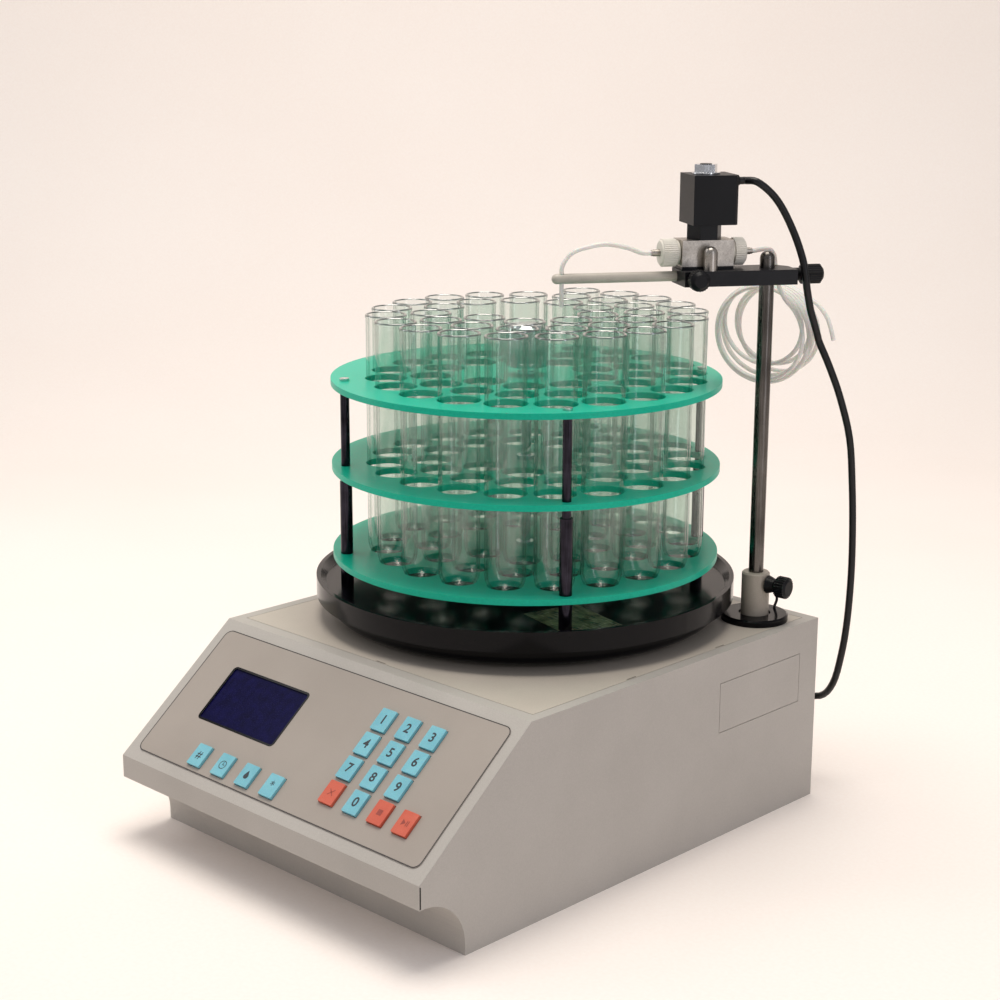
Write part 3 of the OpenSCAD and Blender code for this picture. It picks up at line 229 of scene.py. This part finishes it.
def surfaceMaterial(name, look):
    # tone is the size of the slow colour drift, grain the size of the fine texture, bump its height
    material, tree = newMaterial(name)
    place = addNode(tree, "ShaderNodeTexCoord")
    stretched = addNode(tree, "ShaderNodeMapping", {"Vector": place.outputs["Object"],
                                                    "Scale": look.get("stretch", (1, 1, 1))})
    toneNoise = addNode(tree, "ShaderNodeTexNoise", {"Vector": place.outputs["Object"],
                                                     "Scale": 1000 / look["tone"], "Detail": 3})
    fineNoise = addNode(tree, "ShaderNodeTexNoise", {"Vector": stretched.outputs["Vector"],
                                                     "Scale": 1000 / look["grain"], "Detail": 2})
    blend = addNode(tree, "ShaderNodeMath", {0: toneNoise.outputs["Fac"], 1: fineNoise.outputs["Fac"]}, operation="ADD")
    halved = addNode(tree, "ShaderNodeMath", {0: blend.outputs[0], 1: 0.5}, operation="MULTIPLY")
    colours = addNode(tree, "ShaderNodeValToRGB", {"Fac": halved.outputs[0]})
    for stop, position, code in zip(colours.color_ramp.elements, noiseSpan["colour"], (look["dark"], look["light"])):
        stop.position, stop.color = position, srgb(code)
    paint = colours.outputs["Color"]
    if "above" in look:  # screw heads over a height have their own colour
        height = addNode(tree, "ShaderNodeSeparateXYZ", {"Vector": place.outputs["Object"]})
        level, code = look["above"]
        over = addNode(tree, "ShaderNodeMath", {0: height.outputs["Z"], 1: level * mm}, operation="GREATER_THAN")
        paint = addNode(tree, "ShaderNodeMixRGB", {"Fac": over.outputs[0], "Color1": paint,
                                                   "Color2": srgb(code)}).outputs["Color"]
    roughness = addNode(tree, "ShaderNodeMapRange", {
        "Value": fineNoise.outputs["Fac"], "From Min": noiseSpan["rough"][0], "From Max": noiseSpan["rough"][1],
        "To Min": look["rough"][0], "To Max": look["rough"][1]})
    edges = addNode(tree, "ShaderNodeBevel", {"Radius": look.get("edge", 0.3) * mm}, samples=4)  # softens CAD corners
    bump = addNode(tree, "ShaderNodeBump", {"Height": fineNoise.outputs["Fac"], "Distance": look["bump"] * mm,
                                            "Strength": 1.0, "Normal": edges.outputs["Normal"]})
    shader = addNode(tree, "ShaderNodeBsdfPrincipled", {
        "Base Color": paint, "Roughness": roughness.outputs["Result"], "Normal": bump.outputs["Normal"],
        "Metallic": look.get("metallic", 0.0), "IOR": look.get("ior", 1.5), "Coat Weight": look.get("coat", 0.0),
        "Coat Roughness": look.get("coatRough", 0.05), "Subsurface Weight": look.get("subsurface", 0.0),
        "Subsurface Scale": 0.004, "Alpha": look.get("alpha", 1.0), "Specular IOR Level": look.get("specular", 0.5)})
    addNode(tree, "ShaderNodeOutputMaterial", {"Surface": shader.outputs["BSDF"]})
    return material


# tone, grain and bump are in mm; a finish too fine to show is drawn as coarse as it needs to show
looks = {
    # powder coat: sprayed and baked, so a soft sheen over a fine orange peel
    "powderCoat": {"dark": "#aea9a3", "light": "#b8b3ad", "tone": 60, "grain": 0.9, "bump": 0.02,
        "rough": (0.46, 0.56), "specular": 0.35},
    # the same coat on the lid, painted a little paler and warmer as painted light from above
    "powderCoatLidPaintedLight": {"dark": "#b7afa4", "light": "#c2b9ae", "tone": 60, "grain": 0.9, "bump": 0.02,
        "rough": (0.44, 0.54), "specular": 0.35},
    # zinc plated sheet: cool grey with a blotchy spangle
    "zincSheet": {"dark": "#7f8286", "light": "#a9acb0", "tone": 14, "grain": 2.5, "bump": 0.01, "rough": (0.3, 0.5),
        "metallic": 1.0},
    # screen-printed polycarbonate film: flat grey with a very fine velvet
    "panelFilm": {"dark": "#a0978f", "light": "#a89f97", "tone": 50, "grain": 0.35, "bump": 0.008,
        "rough": (0.48, 0.56), "specular": 0.3},
    # display glass: deep blue behind a smooth window
    "displayGlass": {"dark": "#0b0a2a", "light": "#141344", "tone": 6, "grain": 0.6, "bump": 0.001,
        "rough": (0.2, 0.3), "specular": 0.03},
    # glass-epoxy board under green solder mask: even and satin
    "boardGreen": {"dark": "#0f4a2a", "light": "#17603a", "tone": 20, "grain": 1, "bump": 0.02, "rough": (0.35, 0.5)},
    # die-cast aluminium motor cases: grey with a coarse skin
    "castAluminium": {"dark": "#8f9295", "light": "#a9acaf", "tone": 20, "grain": 0.8, "bump": 0.03,
        "rough": (0.35, 0.5), "metallic": 1.0},
    # sintered bronze bearing: dull brown gold with open pores
    "sinteredBronze": {"dark": "#8a6f3d", "light": "#a98a50", "tone": 10, "grain": 0.5, "bump": 0.02,
        "rough": (0.35, 0.5), "metallic": 1.0},
    # moulded ABS: near black with the mould's fine spark texture
    "blackAbs": {"dark": "#08080a", "light": "#101013", "tone": 30, "grain": 0.5, "bump": 0.015,
        "rough": (0.34, 0.46), "specular": 0.2},
    # pressed dish: glossy black with faint handling haze
    "glossBlack": {"dark": "#060608", "light": "#0c0c0f", "tone": 70, "grain": 1.4, "bump": 0.003,
        "rough": (0.1, 0.18), "specular": 0.14},
    # polished polycarbonate rocker: clear red with sharp lights
    "switchRed": {"dark": "#a01414", "light": "#b81c1a", "tone": 20, "grain": 0.8, "bump": 0.004, "rough": (0.2, 0.3)},
    # hobbed acetal gear: waxy off-white
    "acetal": {"dark": "#d6d2c4", "light": "#e2dfd3", "tone": 20, "grain": 0.8, "bump": 0.006, "rough": (0.35, 0.45)},
    # machined brass pinion: warm with fine tool lines
    "machinedBrass": {"dark": "#a3813f", "light": "#bf9c55", "tone": 10, "grain": 0.4, "bump": 0.006,
        "rough": (0.25, 0.35), "metallic": 1.0},
    # drawn stainless: fine lines along the bar, over a dark colour that is painted reflection of dark surroundings
    "stainlessPaintedDarkReflection": {"dark": "#45423f", "light": "#75716d", "tone": 30, "grain": 0.5, "bump": 0.004,
        "rough": (0.2, 0.3), "metallic": 1.0, "stretch": (1, 1, 0.02)},
    # blasted stainless valve block: even sparkle of fine pits
    "blastedStainless": {"dark": "#8f8981", "light": "#bfb9b0", "tone": 6, "grain": 0.9, "bump": 0.08,
        "rough": (0.3, 0.42), "metallic": 1.0},
    # turned and polished pins: brighter than the bars
    "turnedStainless": {"dark": "#a09a93", "light": "#c2bcb4", "tone": 12, "grain": 0.5, "bump": 0.004,
        "rough": (0.24, 0.34), "metallic": 1.0},
    # chromed steel: mirror bright
    "chromedSteel": {"dark": "#c9cbcd", "light": "#dcdddf", "tone": 20, "grain": 1.2, "bump": 0.001,
        "rough": (0.06, 0.12), "metallic": 1.0},
    # sea-green acrylic sheet: light goes a little way into it
    "greenAcrylic": {"dark": "#0eac8e", "light": "#1abd9f", "tone": 80, "grain": 1.5, "bump": 0.003,
        "rough": (0.28, 0.38), "subsurface": 0.2, "specular": 0.15},
    # holographic film in the tray: olive streaks across its width
    "labelFilm": {"dark": "#28331f", "light": "#9aa67a", "tone": 9, "grain": 1.1, "bump": 0.004, "rough": (0.12, 0.3),
        "stretch": (0.12, 1, 1)},
    # blackened steel posts: dark lines along them, with bare bright screws on top
    "blackenedSteel": {"dark": "#121016", "light": "#3a3742", "tone": 12, "grain": 0.6, "bump": 0.004,
        "rough": (0.12, 0.22), "metallic": 0.9, "stretch": (1, 1, 0.03), "above": (310.3, "#c4cbc8")},
    # the column collar's sprayed paint: warm grey satin
    "collarPaint": {"dark": "#9f968a", "light": "#aea599", "tone": 20, "grain": 0.7, "bump": 0.015,
        "rough": (0.38, 0.48), "specular": 0.35},
    # baked enamel on the dropper's rod: warm grey, a little shinier
    "rodEnamel": {"dark": "#b3aca1", "light": "#c3bcb1", "tone": 12, "grain": 0.6, "bump": 0.008, "rough": (0.3, 0.4),
        "specular": 0.4},
    # the open seam: a dull dark line of shade
    "seamDark": {"dark": "#2b2927", "light": "#3a3735", "tone": 5, "grain": 0.5, "bump": 0.002, "rough": (0.6, 0.7),
        "specular": 0.1},
    # black anodised aluminium bar: soft black satin
    "blackAnodised": {"dark": "#0a0a0d", "light": "#131317", "tone": 18, "grain": 0.5, "bump": 0.012,
        "rough": (0.3, 0.42), "specular": 0.22},
    # silicone hose: milky, light passes through it
    "silicone": {"dark": "#e4e5e0", "light": "#f4f5f1", "tone": 12, "grain": 0.8, "bump": 0.002,
        "rough": (0.22, 0.32), "subsurface": 0.35, "ior": 1.41, "alpha": 0.72},
    # turned nylon nuts: ivory and waxy
    "ivoryNylon": {"dark": "#d9d5c9", "light": "#e8e4da", "tone": 8, "grain": 0.4, "bump": 0.01, "rough": (0.35, 0.48)},
    # PVC cable jacket: black with a rubbery sheen
    "cableJacket": {"dark": "#09090b", "light": "#111114", "tone": 10, "grain": 0.7, "bump": 0.01,
        "rough": (0.32, 0.44), "specular": 0.35},
    # key caps: moulded, a touch translucent
    "keyBlue": {"dark": "#6fb2c2", "light": "#80c3d2", "tone": 14, "grain": 0.5, "bump": 0.004, "rough": (0.38, 0.48),
        "subsurface": 0.1, "specular": 0.3},
    # the same cap in red
    "keyRed": {"dark": "#c65944", "light": "#d26851", "tone": 14, "grain": 0.5, "bump": 0.004, "rough": (0.38, 0.48),
        "subsurface": 0.1, "specular": 0.3},
    # screen-printed inks: flat and thin
    "legendInk": {"dark": "#1c2830", "light": "#24313a", "tone": 3, "grain": 0.3, "bump": 0.001, "rough": (0.4, 0.5)},
    "legendInkRed": {"dark": "#8f3527", "light": "#9c3e2f", "tone": 3, "grain": 0.3, "bump": 0.001,
        "rough": (0.4, 0.5)},
    "outlineInk": {"dark": "#2a2625", "light": "#353130", "tone": 6, "grain": 0.3, "bump": 0.001, "rough": (0.4, 0.5)},
    # the studio's paper sweep: matt and nearly white
    "paleFloor": {"dark": "#f8efe9", "light": "#fbf4ef", "tone": 400, "grain": 3, "bump": 0.02, "rough": (0.6, 0.7),
        "specular": 0.2},
}
finish = {name: surfaceMaterial(name, look) for name, look in looks.items()}

glassOptics = {"tintFrom": 0.5, "tintTo": 1.0, "ripples": 120.0, "rippleHeight": 0.06, "falloff": 5.0, "edgeShare": 0.9}
glassLook = {"centre": "#fafcfb", "edge": "#b9c7c2", "gloss": 0.02, "leastShare": 0.03}
# the rim's grey tint is painted shade of the thick rounded glass bead
lipPaintedShadeLook = {"centre": "#8e9896", "edge": "#566160", "gloss": 0.08, "leastShare": 0.25}


def glassMaterial(name, look):
    # drawn glass: nearly unseen face on, darker and shinier where the wall is seen edge on
    material, tree = newMaterial(name)
    facing = addNode(tree, "ShaderNodeLayerWeight", {"Blend": 0.5})
    tint = addNode(tree, "ShaderNodeValToRGB", {"Fac": facing.outputs["Facing"]})
    tint.color_ramp.elements[0].position = glassOptics["tintFrom"]
    tint.color_ramp.elements[1].position = glassOptics["tintTo"]
    tint.color_ramp.elements[0].color, tint.color_ramp.elements[1].color = srgb(look["centre"]), srgb(look["edge"])
    clear = addNode(tree, "ShaderNodeBsdfTransparent", {"Color": tint.outputs["Color"]})
    place = addNode(tree, "ShaderNodeTexCoord")
    haze = addNode(tree, "ShaderNodeTexNoise", {"Vector": place.outputs["Object"], "Scale": glassOptics["ripples"],
                                                   "Detail": 2})
    ripple = addNode(tree, "ShaderNodeBump", {"Height": haze.outputs["Fac"], "Strength": 1.0,
                                              "Distance": glassOptics["rippleHeight"] * mm})
    gloss = addNode(tree, "ShaderNodeBsdfGlossy", {"Color": (1, 1, 1, 1), "Roughness": look["gloss"],
                                                   "Normal": ripple.outputs["Normal"]})
    grazing = addNode(tree, "ShaderNodeMath", {0: facing.outputs["Facing"], 1: glassOptics["falloff"]},
                      operation="POWER")
    share = addNode(tree, "ShaderNodeMath", {0: grazing.outputs[0], 1: glassOptics["edgeShare"],
                                             2: look["leastShare"]}, operation="MULTIPLY_ADD")
    mixed = addNode(tree, "ShaderNodeMixShader", {"Fac": share.outputs[0]})
    tree.links.new(clear.outputs["BSDF"], mixed.inputs[1])
    tree.links.new(gloss.outputs["BSDF"], mixed.inputs[2])
    addNode(tree, "ShaderNodeOutputMaterial", {"Surface": mixed.outputs["Shader"]})
    return material


finish["borosilicateGlass"] = glassMaterial("borosilicateGlass", glassLook)
finish["flamedLipPaintedShade"] = glassMaterial("flamedLipPaintedShade", lipPaintedShadeLook)  # the rim is melted round, so it catches more light; its grey tint is painted shade of the thick rounded glass
print("materials made")

nodeFinish = {
    "powderCoat": ["housing", "side_cover"], "powderCoatLidPaintedLight": ["top_panel"], "zincSheet": ["bottom_plate"],
    "panelFilm": ["control_label"], "displayGlass": ["display_window"], "boardGreen": ["circuit_boards"],
    "castAluminium": ["drive_motors"], "sinteredBronze": ["bearing_housing"],
    "blackAbs": ["rear_connectors", "collar_knob", "end_knob", "ball_knob", "valve_coil"],
    "glossBlack": ["dish", "column_flange"], "switchRed": ["power_rocker"], "acetal": ["turntable_gear"],
    "machinedBrass": ["motor_pinion"], "stainlessPaintedDarkReflection": ["spindle", "column_rod"],
    "turnedStainless": ["clamp_pin", "valve_plunger"], "blastedStainless": ["valve_block"],
    "chromedSteel": ["rack_grip", "valve_nut"],
    "greenAcrylic": ["rack_bottom_disc", "rack_middle_disc", "rack_top_disc"],
    "labelFilm": ["dish_label"], "blackenedSteel": ["rack_posts", "rack_sleeves"],
    "collarPaint": ["column_collar"], "rodEnamel": ["dropper_rod"],
    "blackAnodised": ["clamp_bar", "valve_neck"], "ivoryNylon": ["hose_nuts"],
    "keyRed": ["key_clear", "key_stop", "key_start"],
    "keyBlue": ["key_1", "key_2", "key_3", "key_4", "key_5", "key_6", "key_7", "key_8", "key_9", "key_0",
                "key_hash", "key_time", "key_drop", "key_star"],
}
for name, members in nodeFinish.items():
    for member in members:
        dress(nodes[member], finish[name])

# ---- the cords' finish and bodies ----
for piece in (outletHose, inletHose, inletHoseDrop, spareHose):
    dress(piece, finish["silicone"])
for piece in (valveCableTop, valveCableFoot, collarLead):
    dress(piece, finish["cableJacket"])
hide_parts("outlet_hose")
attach(outletHose, "dropper")
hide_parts("inlet_hose")
for piece, line, ends in ((inletHose, inletLine[:inletCuts[0] + 1], ("arm", "column")),
                          (inletHoseDrop, inletLine[inletCuts[0]:inletCuts[1] + 1], ("column", "base"))):
    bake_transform(piece)
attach(spareHose, "base")
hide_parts("valve_cable")
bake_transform(valveCableTop)
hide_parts("base_leads")
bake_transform(valveCableFoot)
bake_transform(collarLead)

# ---- test tubes ----
tube = {"outer": 28.5, "wall": 1.5, "length": 177.5, "lip": 29.4, "bead": 1.3, "seat": 25, "sides": 40}
rackSeat = {"top": 185.5, "gap": 0.3}
spiral = {"count": 40, "radius": 121.1, "start": 113.5, "pitch": 33.1, "inward": 31.8, "lifted": 10}
seatDrop = tube["outer"] / 2 - math.sqrt(tube["outer"] ** 2 - tube["seat"] ** 2) / 2
tubeFoot = rackSeat["top"] - seatDrop + rackSeat["gap"]


def spiralPlaces(plan):  # equal straight spacing along an inward spiral
    def radiusAt(turn):
        return plan["radius"] - plan["inward"] * turn / 360
    places, turn = [], 0.0
    for _ in range(plan["count"]):
        angle = math.radians(plan["start"] - turn)
        here = radiusAt(turn)
        places.append((turntable["x"] + here * math.cos(angle), turntable["y"] + here * math.sin(angle)))
        ahead = radiusAt(turn + 57.3 * plan["pitch"] / here)  # the next radius, from the arc's angle in degrees
        chord = math.sqrt((plan["pitch"] ** 2 - (here - ahead) ** 2) / (4 * here * ahead))
        turn += 2 * math.degrees(math.asin(chord))
    return places


def tubeProfile(plan):  # outside up, over the beaded lip, inside down
    r, w, top = plan["outer"] / 2, plan["wall"], plan["length"]
    outside = [(r * math.sin(math.radians(a)), r - r * math.cos(math.radians(a))) for a in range(0, 91, 10)]
    lip = plan["lip"] / 2
    bead = [(r, top - 2.6), (lip - 0.1, top - 2.0), (lip, top - 1.1), (lip - 0.25, top - 0.3), (r - 0.3, top),
            (r - w + 0.5, top - 0.1), (r - w, top - 0.8)]
    inner = r - w
    inside = [(inner * math.cos(math.radians(a)), r - inner * math.sin(math.radians(a))) for a in range(0, 91, 10)]
    return outside + bead + inside


def glassTubes(name, places):
    bm = bmesh.new()
    line = [bm.verts.new((x * mm, 0, z * mm)) for x, z in tubeProfile(tube)]
    edges = [bm.edges.new(pair) for pair in zip(line, line[1:])]
    bmesh.ops.spin(bm, geom=line + edges, cent=(0, 0, 0), axis=(0, 0, 1), angle=2 * math.pi, steps=tube["sides"],
                   use_merge=True)
    bmesh.ops.remove_doubles(bm, verts=bm.verts, dist=1e-6)
    bmesh.ops.recalc_face_normals(bm, faces=bm.faces)
    for face in bm.faces:
        face.material_index = int(face.calc_center_median().z > (tube["length"] - tube["bead"]) * mm)
    one = bpy.data.meshes.new("oneTube")
    bm.to_mesh(one)
    bm.clear()
    for x, y in places:
        before = len(bm.verts)
        bm.from_mesh(one)
        bm.verts.ensure_lookup_table()
        bmesh.ops.translate(bm, verts=bm.verts[before:], vec=(x * mm, y * mm, tubeFoot * mm))
    bpy.data.meshes.remove(one)
    made = meshObject(name, bm)
    for surface in ("borosilicateGlass", "flamedLipPaintedShade"):
        made.data.materials.append(finish[surface])
    return made


places = spiralPlaces(spiral)
rackTubes = glassTubes("rackTubes", [p for i, p in enumerate(places) if i != spiral["lifted"]])
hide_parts("test_tubes")
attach(rackTubes, "rack")
frontTube = glassTubes("frontTube", [places[spiral["lifted"]]])
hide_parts("front_tube")
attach(frontTube, "loose_tube")
print("test tubes made")

# ---- key legends and the panel's outline ----
keys = {"top": 2.55, "columns": (44.6, 67.4, 90.2, 113.0), "rows": (90.2, 70.8, 51.4, 32.0),
        "lowRow": (-81.0, -55.6, -30.2, -4.8), "lowS": 20.7}
digits = {"size": 9.4, "markSize": 8.46, "lift": 0.04, "bold": 0.2, "fine": 0.06, "thick": 0.01}
legends = [(str(k + 1), k % 3, k // 3) for k in range(9)] + [("0", 1, 3)]  # text, column, row


def onPanel(piece, x, s, n):  # stands a flat mesh on the sloped panel
    turn = Matrix.Rotation(slopeAngle, 4, "X")
    piece.data.transform(Matrix.Translation(slopePoint(x, s, n)) @ turn)
    return piece


def textMesh(name, text, size, bold):
    curve = bpy.data.curves.new(name, "FONT")
    curve.body = text
    curve.size = size * mm
    curve.align_x, curve.align_y = "CENTER", "CENTER"
    curve.offset = bold * mm
    curve.extrude = digits["thick"] * mm
    holder = bpy.data.objects.new(name + "Text", curve)
    bpy.context.scene.collection.objects.link(holder)
    mesh = bpy.data.meshes.new_from_object(holder.evaluated_get(bpy.context.evaluated_depsgraph_get()))
    bpy.data.objects.remove(holder)
    mesh.name = name
    piece = bpy.data.objects.new(name, mesh)
    bpy.context.scene.collection.objects.link(piece)
    return piece


for text, i, j in legends:
    mark = onPanel(textMesh("legend" + text, text, digits["size"], digits["bold"]),
                   keys["columns"][i], keys["rows"][j], keys["top"] + digits["lift"])
    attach(dress(mark, finish["legendInk"]), "key_" + text + "_cap")
for text, name, i in (("#", "hash", 0), ("*", "star", 3)):
    mark = onPanel(textMesh("legend" + name.capitalize(), text, digits["markSize"], digits["fine"]),
                   keys["lowRow"][i], keys["lowS"], keys["top"] + digits["lift"])
    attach(dress(mark, finish["legendInk"]), "key_" + name + "_cap")


def flatShape(bm, points, thickness=0.02):  # a thin plate from an outline in mm
    verts = [bm.verts.new((x * mm, y * mm, 0)) for x, y in points]
    face = bm.faces.new(verts)
    if face.normal.z < 0:
        face.normal_flip()
    raised = bmesh.ops.extrude_face_region(bm, geom=[face])["geom"]
    bmesh.ops.translate(bm, verts=[g for g in raised if isinstance(g, bmesh.types.BMVert)], vec=(0, 0, thickness * mm))


def circlePoints(r, x=0, y=0, count=24, start=0, stop=360):
    return [(x + r * math.cos(math.radians(a)), y + r * math.sin(math.radians(a)))
            for a in [start + (stop - start) * k / count for k in range(count + (0 if stop - start == 360 else 1))]]


def ringShape(bm, r, width):  # a flat ring in mm
    made = bmesh.ops.create_circle(bm, segments=32, radius=r * mm)
    edges = list({e for v in made["verts"] for e in v.link_edges})
    grown = bmesh.ops.extrude_edge_only(bm, edges=edges)["geom"]
    verts = [g for g in grown if isinstance(g, bmesh.types.BMVert)]
    bmesh.ops.scale(bm, verts=verts, vec=((r - width) / r, (r - width) / r, 1))
    bmesh.ops.recalc_face_normals(bm, faces=bm.faces)


symbols = {  # plain signs where the real keys carry words, in mm from the key's middle
    "time": [("ring", 3.2, 0.55), ("flat", [(-0.25, -0.2), (0.25, -0.2), (0.25, 2.2), (-0.25, 2.2)]),
             ("flat", [(-0.2, -0.25), (1.7, -0.25), (1.7, 0.25), (-0.2, 0.25)])],
    "drop": [("flat", circlePoints(2.1, 0, -0.9, 20, -205, 25) + [(0.0, 3.6)])],
    "clear": [("flat", [(-2.4, -2.0), (-2.0, -2.4), (2.4, 2.0), (2.0, 2.4)]),
              ("flat", [(-2.4, 2.0), (2.0, -2.4), (2.4, -2.0), (-2.0, 2.4)])],
    "stop": [("flat", [(-2, -2), (2, -2), (2, 2), (-2, 2)])],
    "start": [("flat", [(-2.6, -2.2), (0.6, 0), (-2.6, 2.2)]), ("flat", [(1.1, -2), (1.7, -2), (1.7, 2), (1.1, 2)]),
              ("flat", [(2.4, -2), (3.0, -2), (3.0, 2), (2.4, 2)])],
}
symbolPlaces = {"time": (keys["lowRow"][1], keys["lowS"]), "drop": (keys["lowRow"][2], keys["lowS"]),
                "clear": (keys["columns"][0], keys["rows"][3]), "stop": (keys["columns"][2], keys["rows"][3]),
                "start": (keys["columns"][3], keys["rows"][3])}
for name, shapes in symbols.items():
    bm = bmesh.new()
    for shape in shapes:
        if shape[0] == "ring":
            ringShape(bm, shape[1], shape[2])
        else:
            flatShape(bm, shape[1])
    mark = meshObject("symbol" + name.capitalize(), bm, False)
    mark = onPanel(mark, *symbolPlaces[name], keys["top"] + digits["lift"])
    ink = "legendInk" if name in ("time", "drop") else "legendInkRed"
    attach(dress(mark, finish[ink]), "key_" + name + "_cap")

outline = {"width": 283, "height": 107, "corner": 6, "start": 8.5, "line": 0.7, "top": 0.6}
window = {"width": 81.5, "height": 45.5, "corner": 3.6, "line": 1.6, "x": -69.5, "s": 68}


def roundedPoints(w, h, r, count=8):
    points = []
    for side, end, a in ((1, 1, 0), (-1, 1, 90), (-1, -1, 180), (1, -1, 270)):
        cx, cy = side * (w / 2 - r), end * (h / 2 - r)
        for k in range(count + 1):
            turn = math.radians(a + 90 * k / count)
            points.append((cx + r * math.cos(turn), cy + r * math.sin(turn)))
    return points


def outlineRing(name, w, h, r, line):  # a printed border line
    bm = bmesh.new()
    outer, inner = ([bm.verts.new((x * mm, y * mm, 0))
                     for x, y in roundedPoints(w - 2 * inset, h - 2 * inset, r - inset)] for inset in (0, line))
    for i in range(len(outer)):
        j = (i + 1) % len(outer)
        bm.faces.new((outer[i], outer[j], inner[j], inner[i]))
    return meshObject(name, bm, False)


panelLine = onPanel(outlineRing("panelLine", outline["width"], outline["height"], outline["corner"], outline["line"]),
                    0, outline["start"] + outline["height"] / 2, outline["top"])
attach(dress(panelLine, finish["outlineInk"]), "base")
windowLine = onPanel(outlineRing("windowLine", window["width"], window["height"], window["corner"], window["line"]),
                     window["x"], window["s"], outline["top"])
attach(dress(windowLine, finish["glossBlack"]), "base")

# the seam where the folded front meets the side sheets, drawn as thin dark strips of painted shade
lipSeam = {"width": 1.1, "low": 43.2, "high": 57.6, "proud": 0.03, "back": 0.3}
bm = bmesh.new()
for side in (-1, 1):
    made = bmesh.ops.create_cube(bm, size=1)["verts"]
    size = (2 * lipSeam["proud"], lipSeam["width"], lipSeam["high"] - lipSeam["low"])
    middle = (side * base["width"] / 2, -base["depth"] / 2 + lipSeam["back"] + lipSeam["width"] / 2,
              (lipSeam["high"] + lipSeam["low"]) / 2)
    bmesh.ops.scale(bm, vec=Vector(size) * mm, verts=made)
    bmesh.ops.translate(bm, vec=Vector(middle) * mm, verts=made)
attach(dress(meshObject("lipSeamShade", bm, False), finish["seamDark"]), "base")
print("panel made")

# ---- floor, backdrop and light ----
room = {"front": -3.0, "back": 1.9, "half": 4.0, "height": 3.2, "bend": 0.8}


def backdrop(plan):
    bm = bmesh.new()
    turn = Matrix.Rotation(math.radians(cameraSetup["yaw"]), 4, "Z")
    profile = [(plan["front"], 0.0), (plan["back"] - plan["bend"], 0.0)]
    profile += [(plan["back"] - plan["bend"] + plan["bend"] * math.sin(math.radians(a)),
                 plan["bend"] - plan["bend"] * math.cos(math.radians(a))) for a in range(10, 91, 10)]
    profile.append((plan["back"], plan["height"]))
    line = [bm.verts.new((-plan["half"], y, z)) for y, z in profile]
    edges = [bm.edges.new(pair) for pair in zip(line, line[1:])]
    grown = bmesh.ops.extrude_edge_only(bm, edges=edges)["geom"]
    bmesh.ops.translate(bm, verts=[g for g in grown if isinstance(g, bmesh.types.BMVert)], vec=(2 * plan["half"], 0, 0))
    bmesh.ops.transform(bm, matrix=turn, verts=bm.verts)
    bmesh.ops.recalc_face_normals(bm, faces=bm.faces)
    return meshObject("backdrop", bm)


floor = dress(backdrop(room), finish["paleFloor"])

aim = (0, 0, 0.25)  # all lamps face the middle of the object
lights = {
    "softTop": {"place": (-0.1, 0.1, 2.3), "size": (1.3, 1.3), "power": 40, "colour": "#fff8ee"},
    "softKey": {"place": (-1.5, -0.7, 1.9), "size": (0.8, 0.8), "power": 4, "colour": "#fffdfa"},
    "stripLeft": {"place": (-1.05, -0.65, 0.55), "size": (0.16, 1.3), "power": 1.6, "colour": "#ffffff"},
    "stripRight": {"place": (1.35, -0.05, 0.6), "size": (0.22, 1.3), "power": 2.4, "colour": "#f2f4ff"},
}
for name, plan in lights.items():
    data = bpy.data.lights.new(name, "AREA")
    data.shape = "RECTANGLE"
    data.size, data.size_y = plan["size"]
    data.energy, data.color = plan["power"], srgb(plan["colour"])[:3]
    lamp = bpy.data.objects.new(name, data)
    lamp.location = plan["place"]
    lamp.rotation_euler = (Vector(aim) - Vector(plan["place"])).to_track_quat("-Z", "Y").to_euler()
    lamp.visible_camera = False
    bpy.context.scene.collection.objects.link(lamp)
skyLight = {"colour": "#f1f0f3", "strength": 0.46}
world = bpy.data.worlds.new("paleRoom")
world.use_nodes = True
sky = world.node_tree.nodes["Background"].inputs
sky["Color"].default_value, sky["Strength"].default_value = srgb(skyLight["colour"]), skyLight["strength"]
bpy.context.scene.world = world
bpy.context.scene.view_settings.view_transform = "Standard"
bpy.context.scene.cycles.transparent_max_bounces = 64  # a look through the rack crosses many glass walls
print("light made")
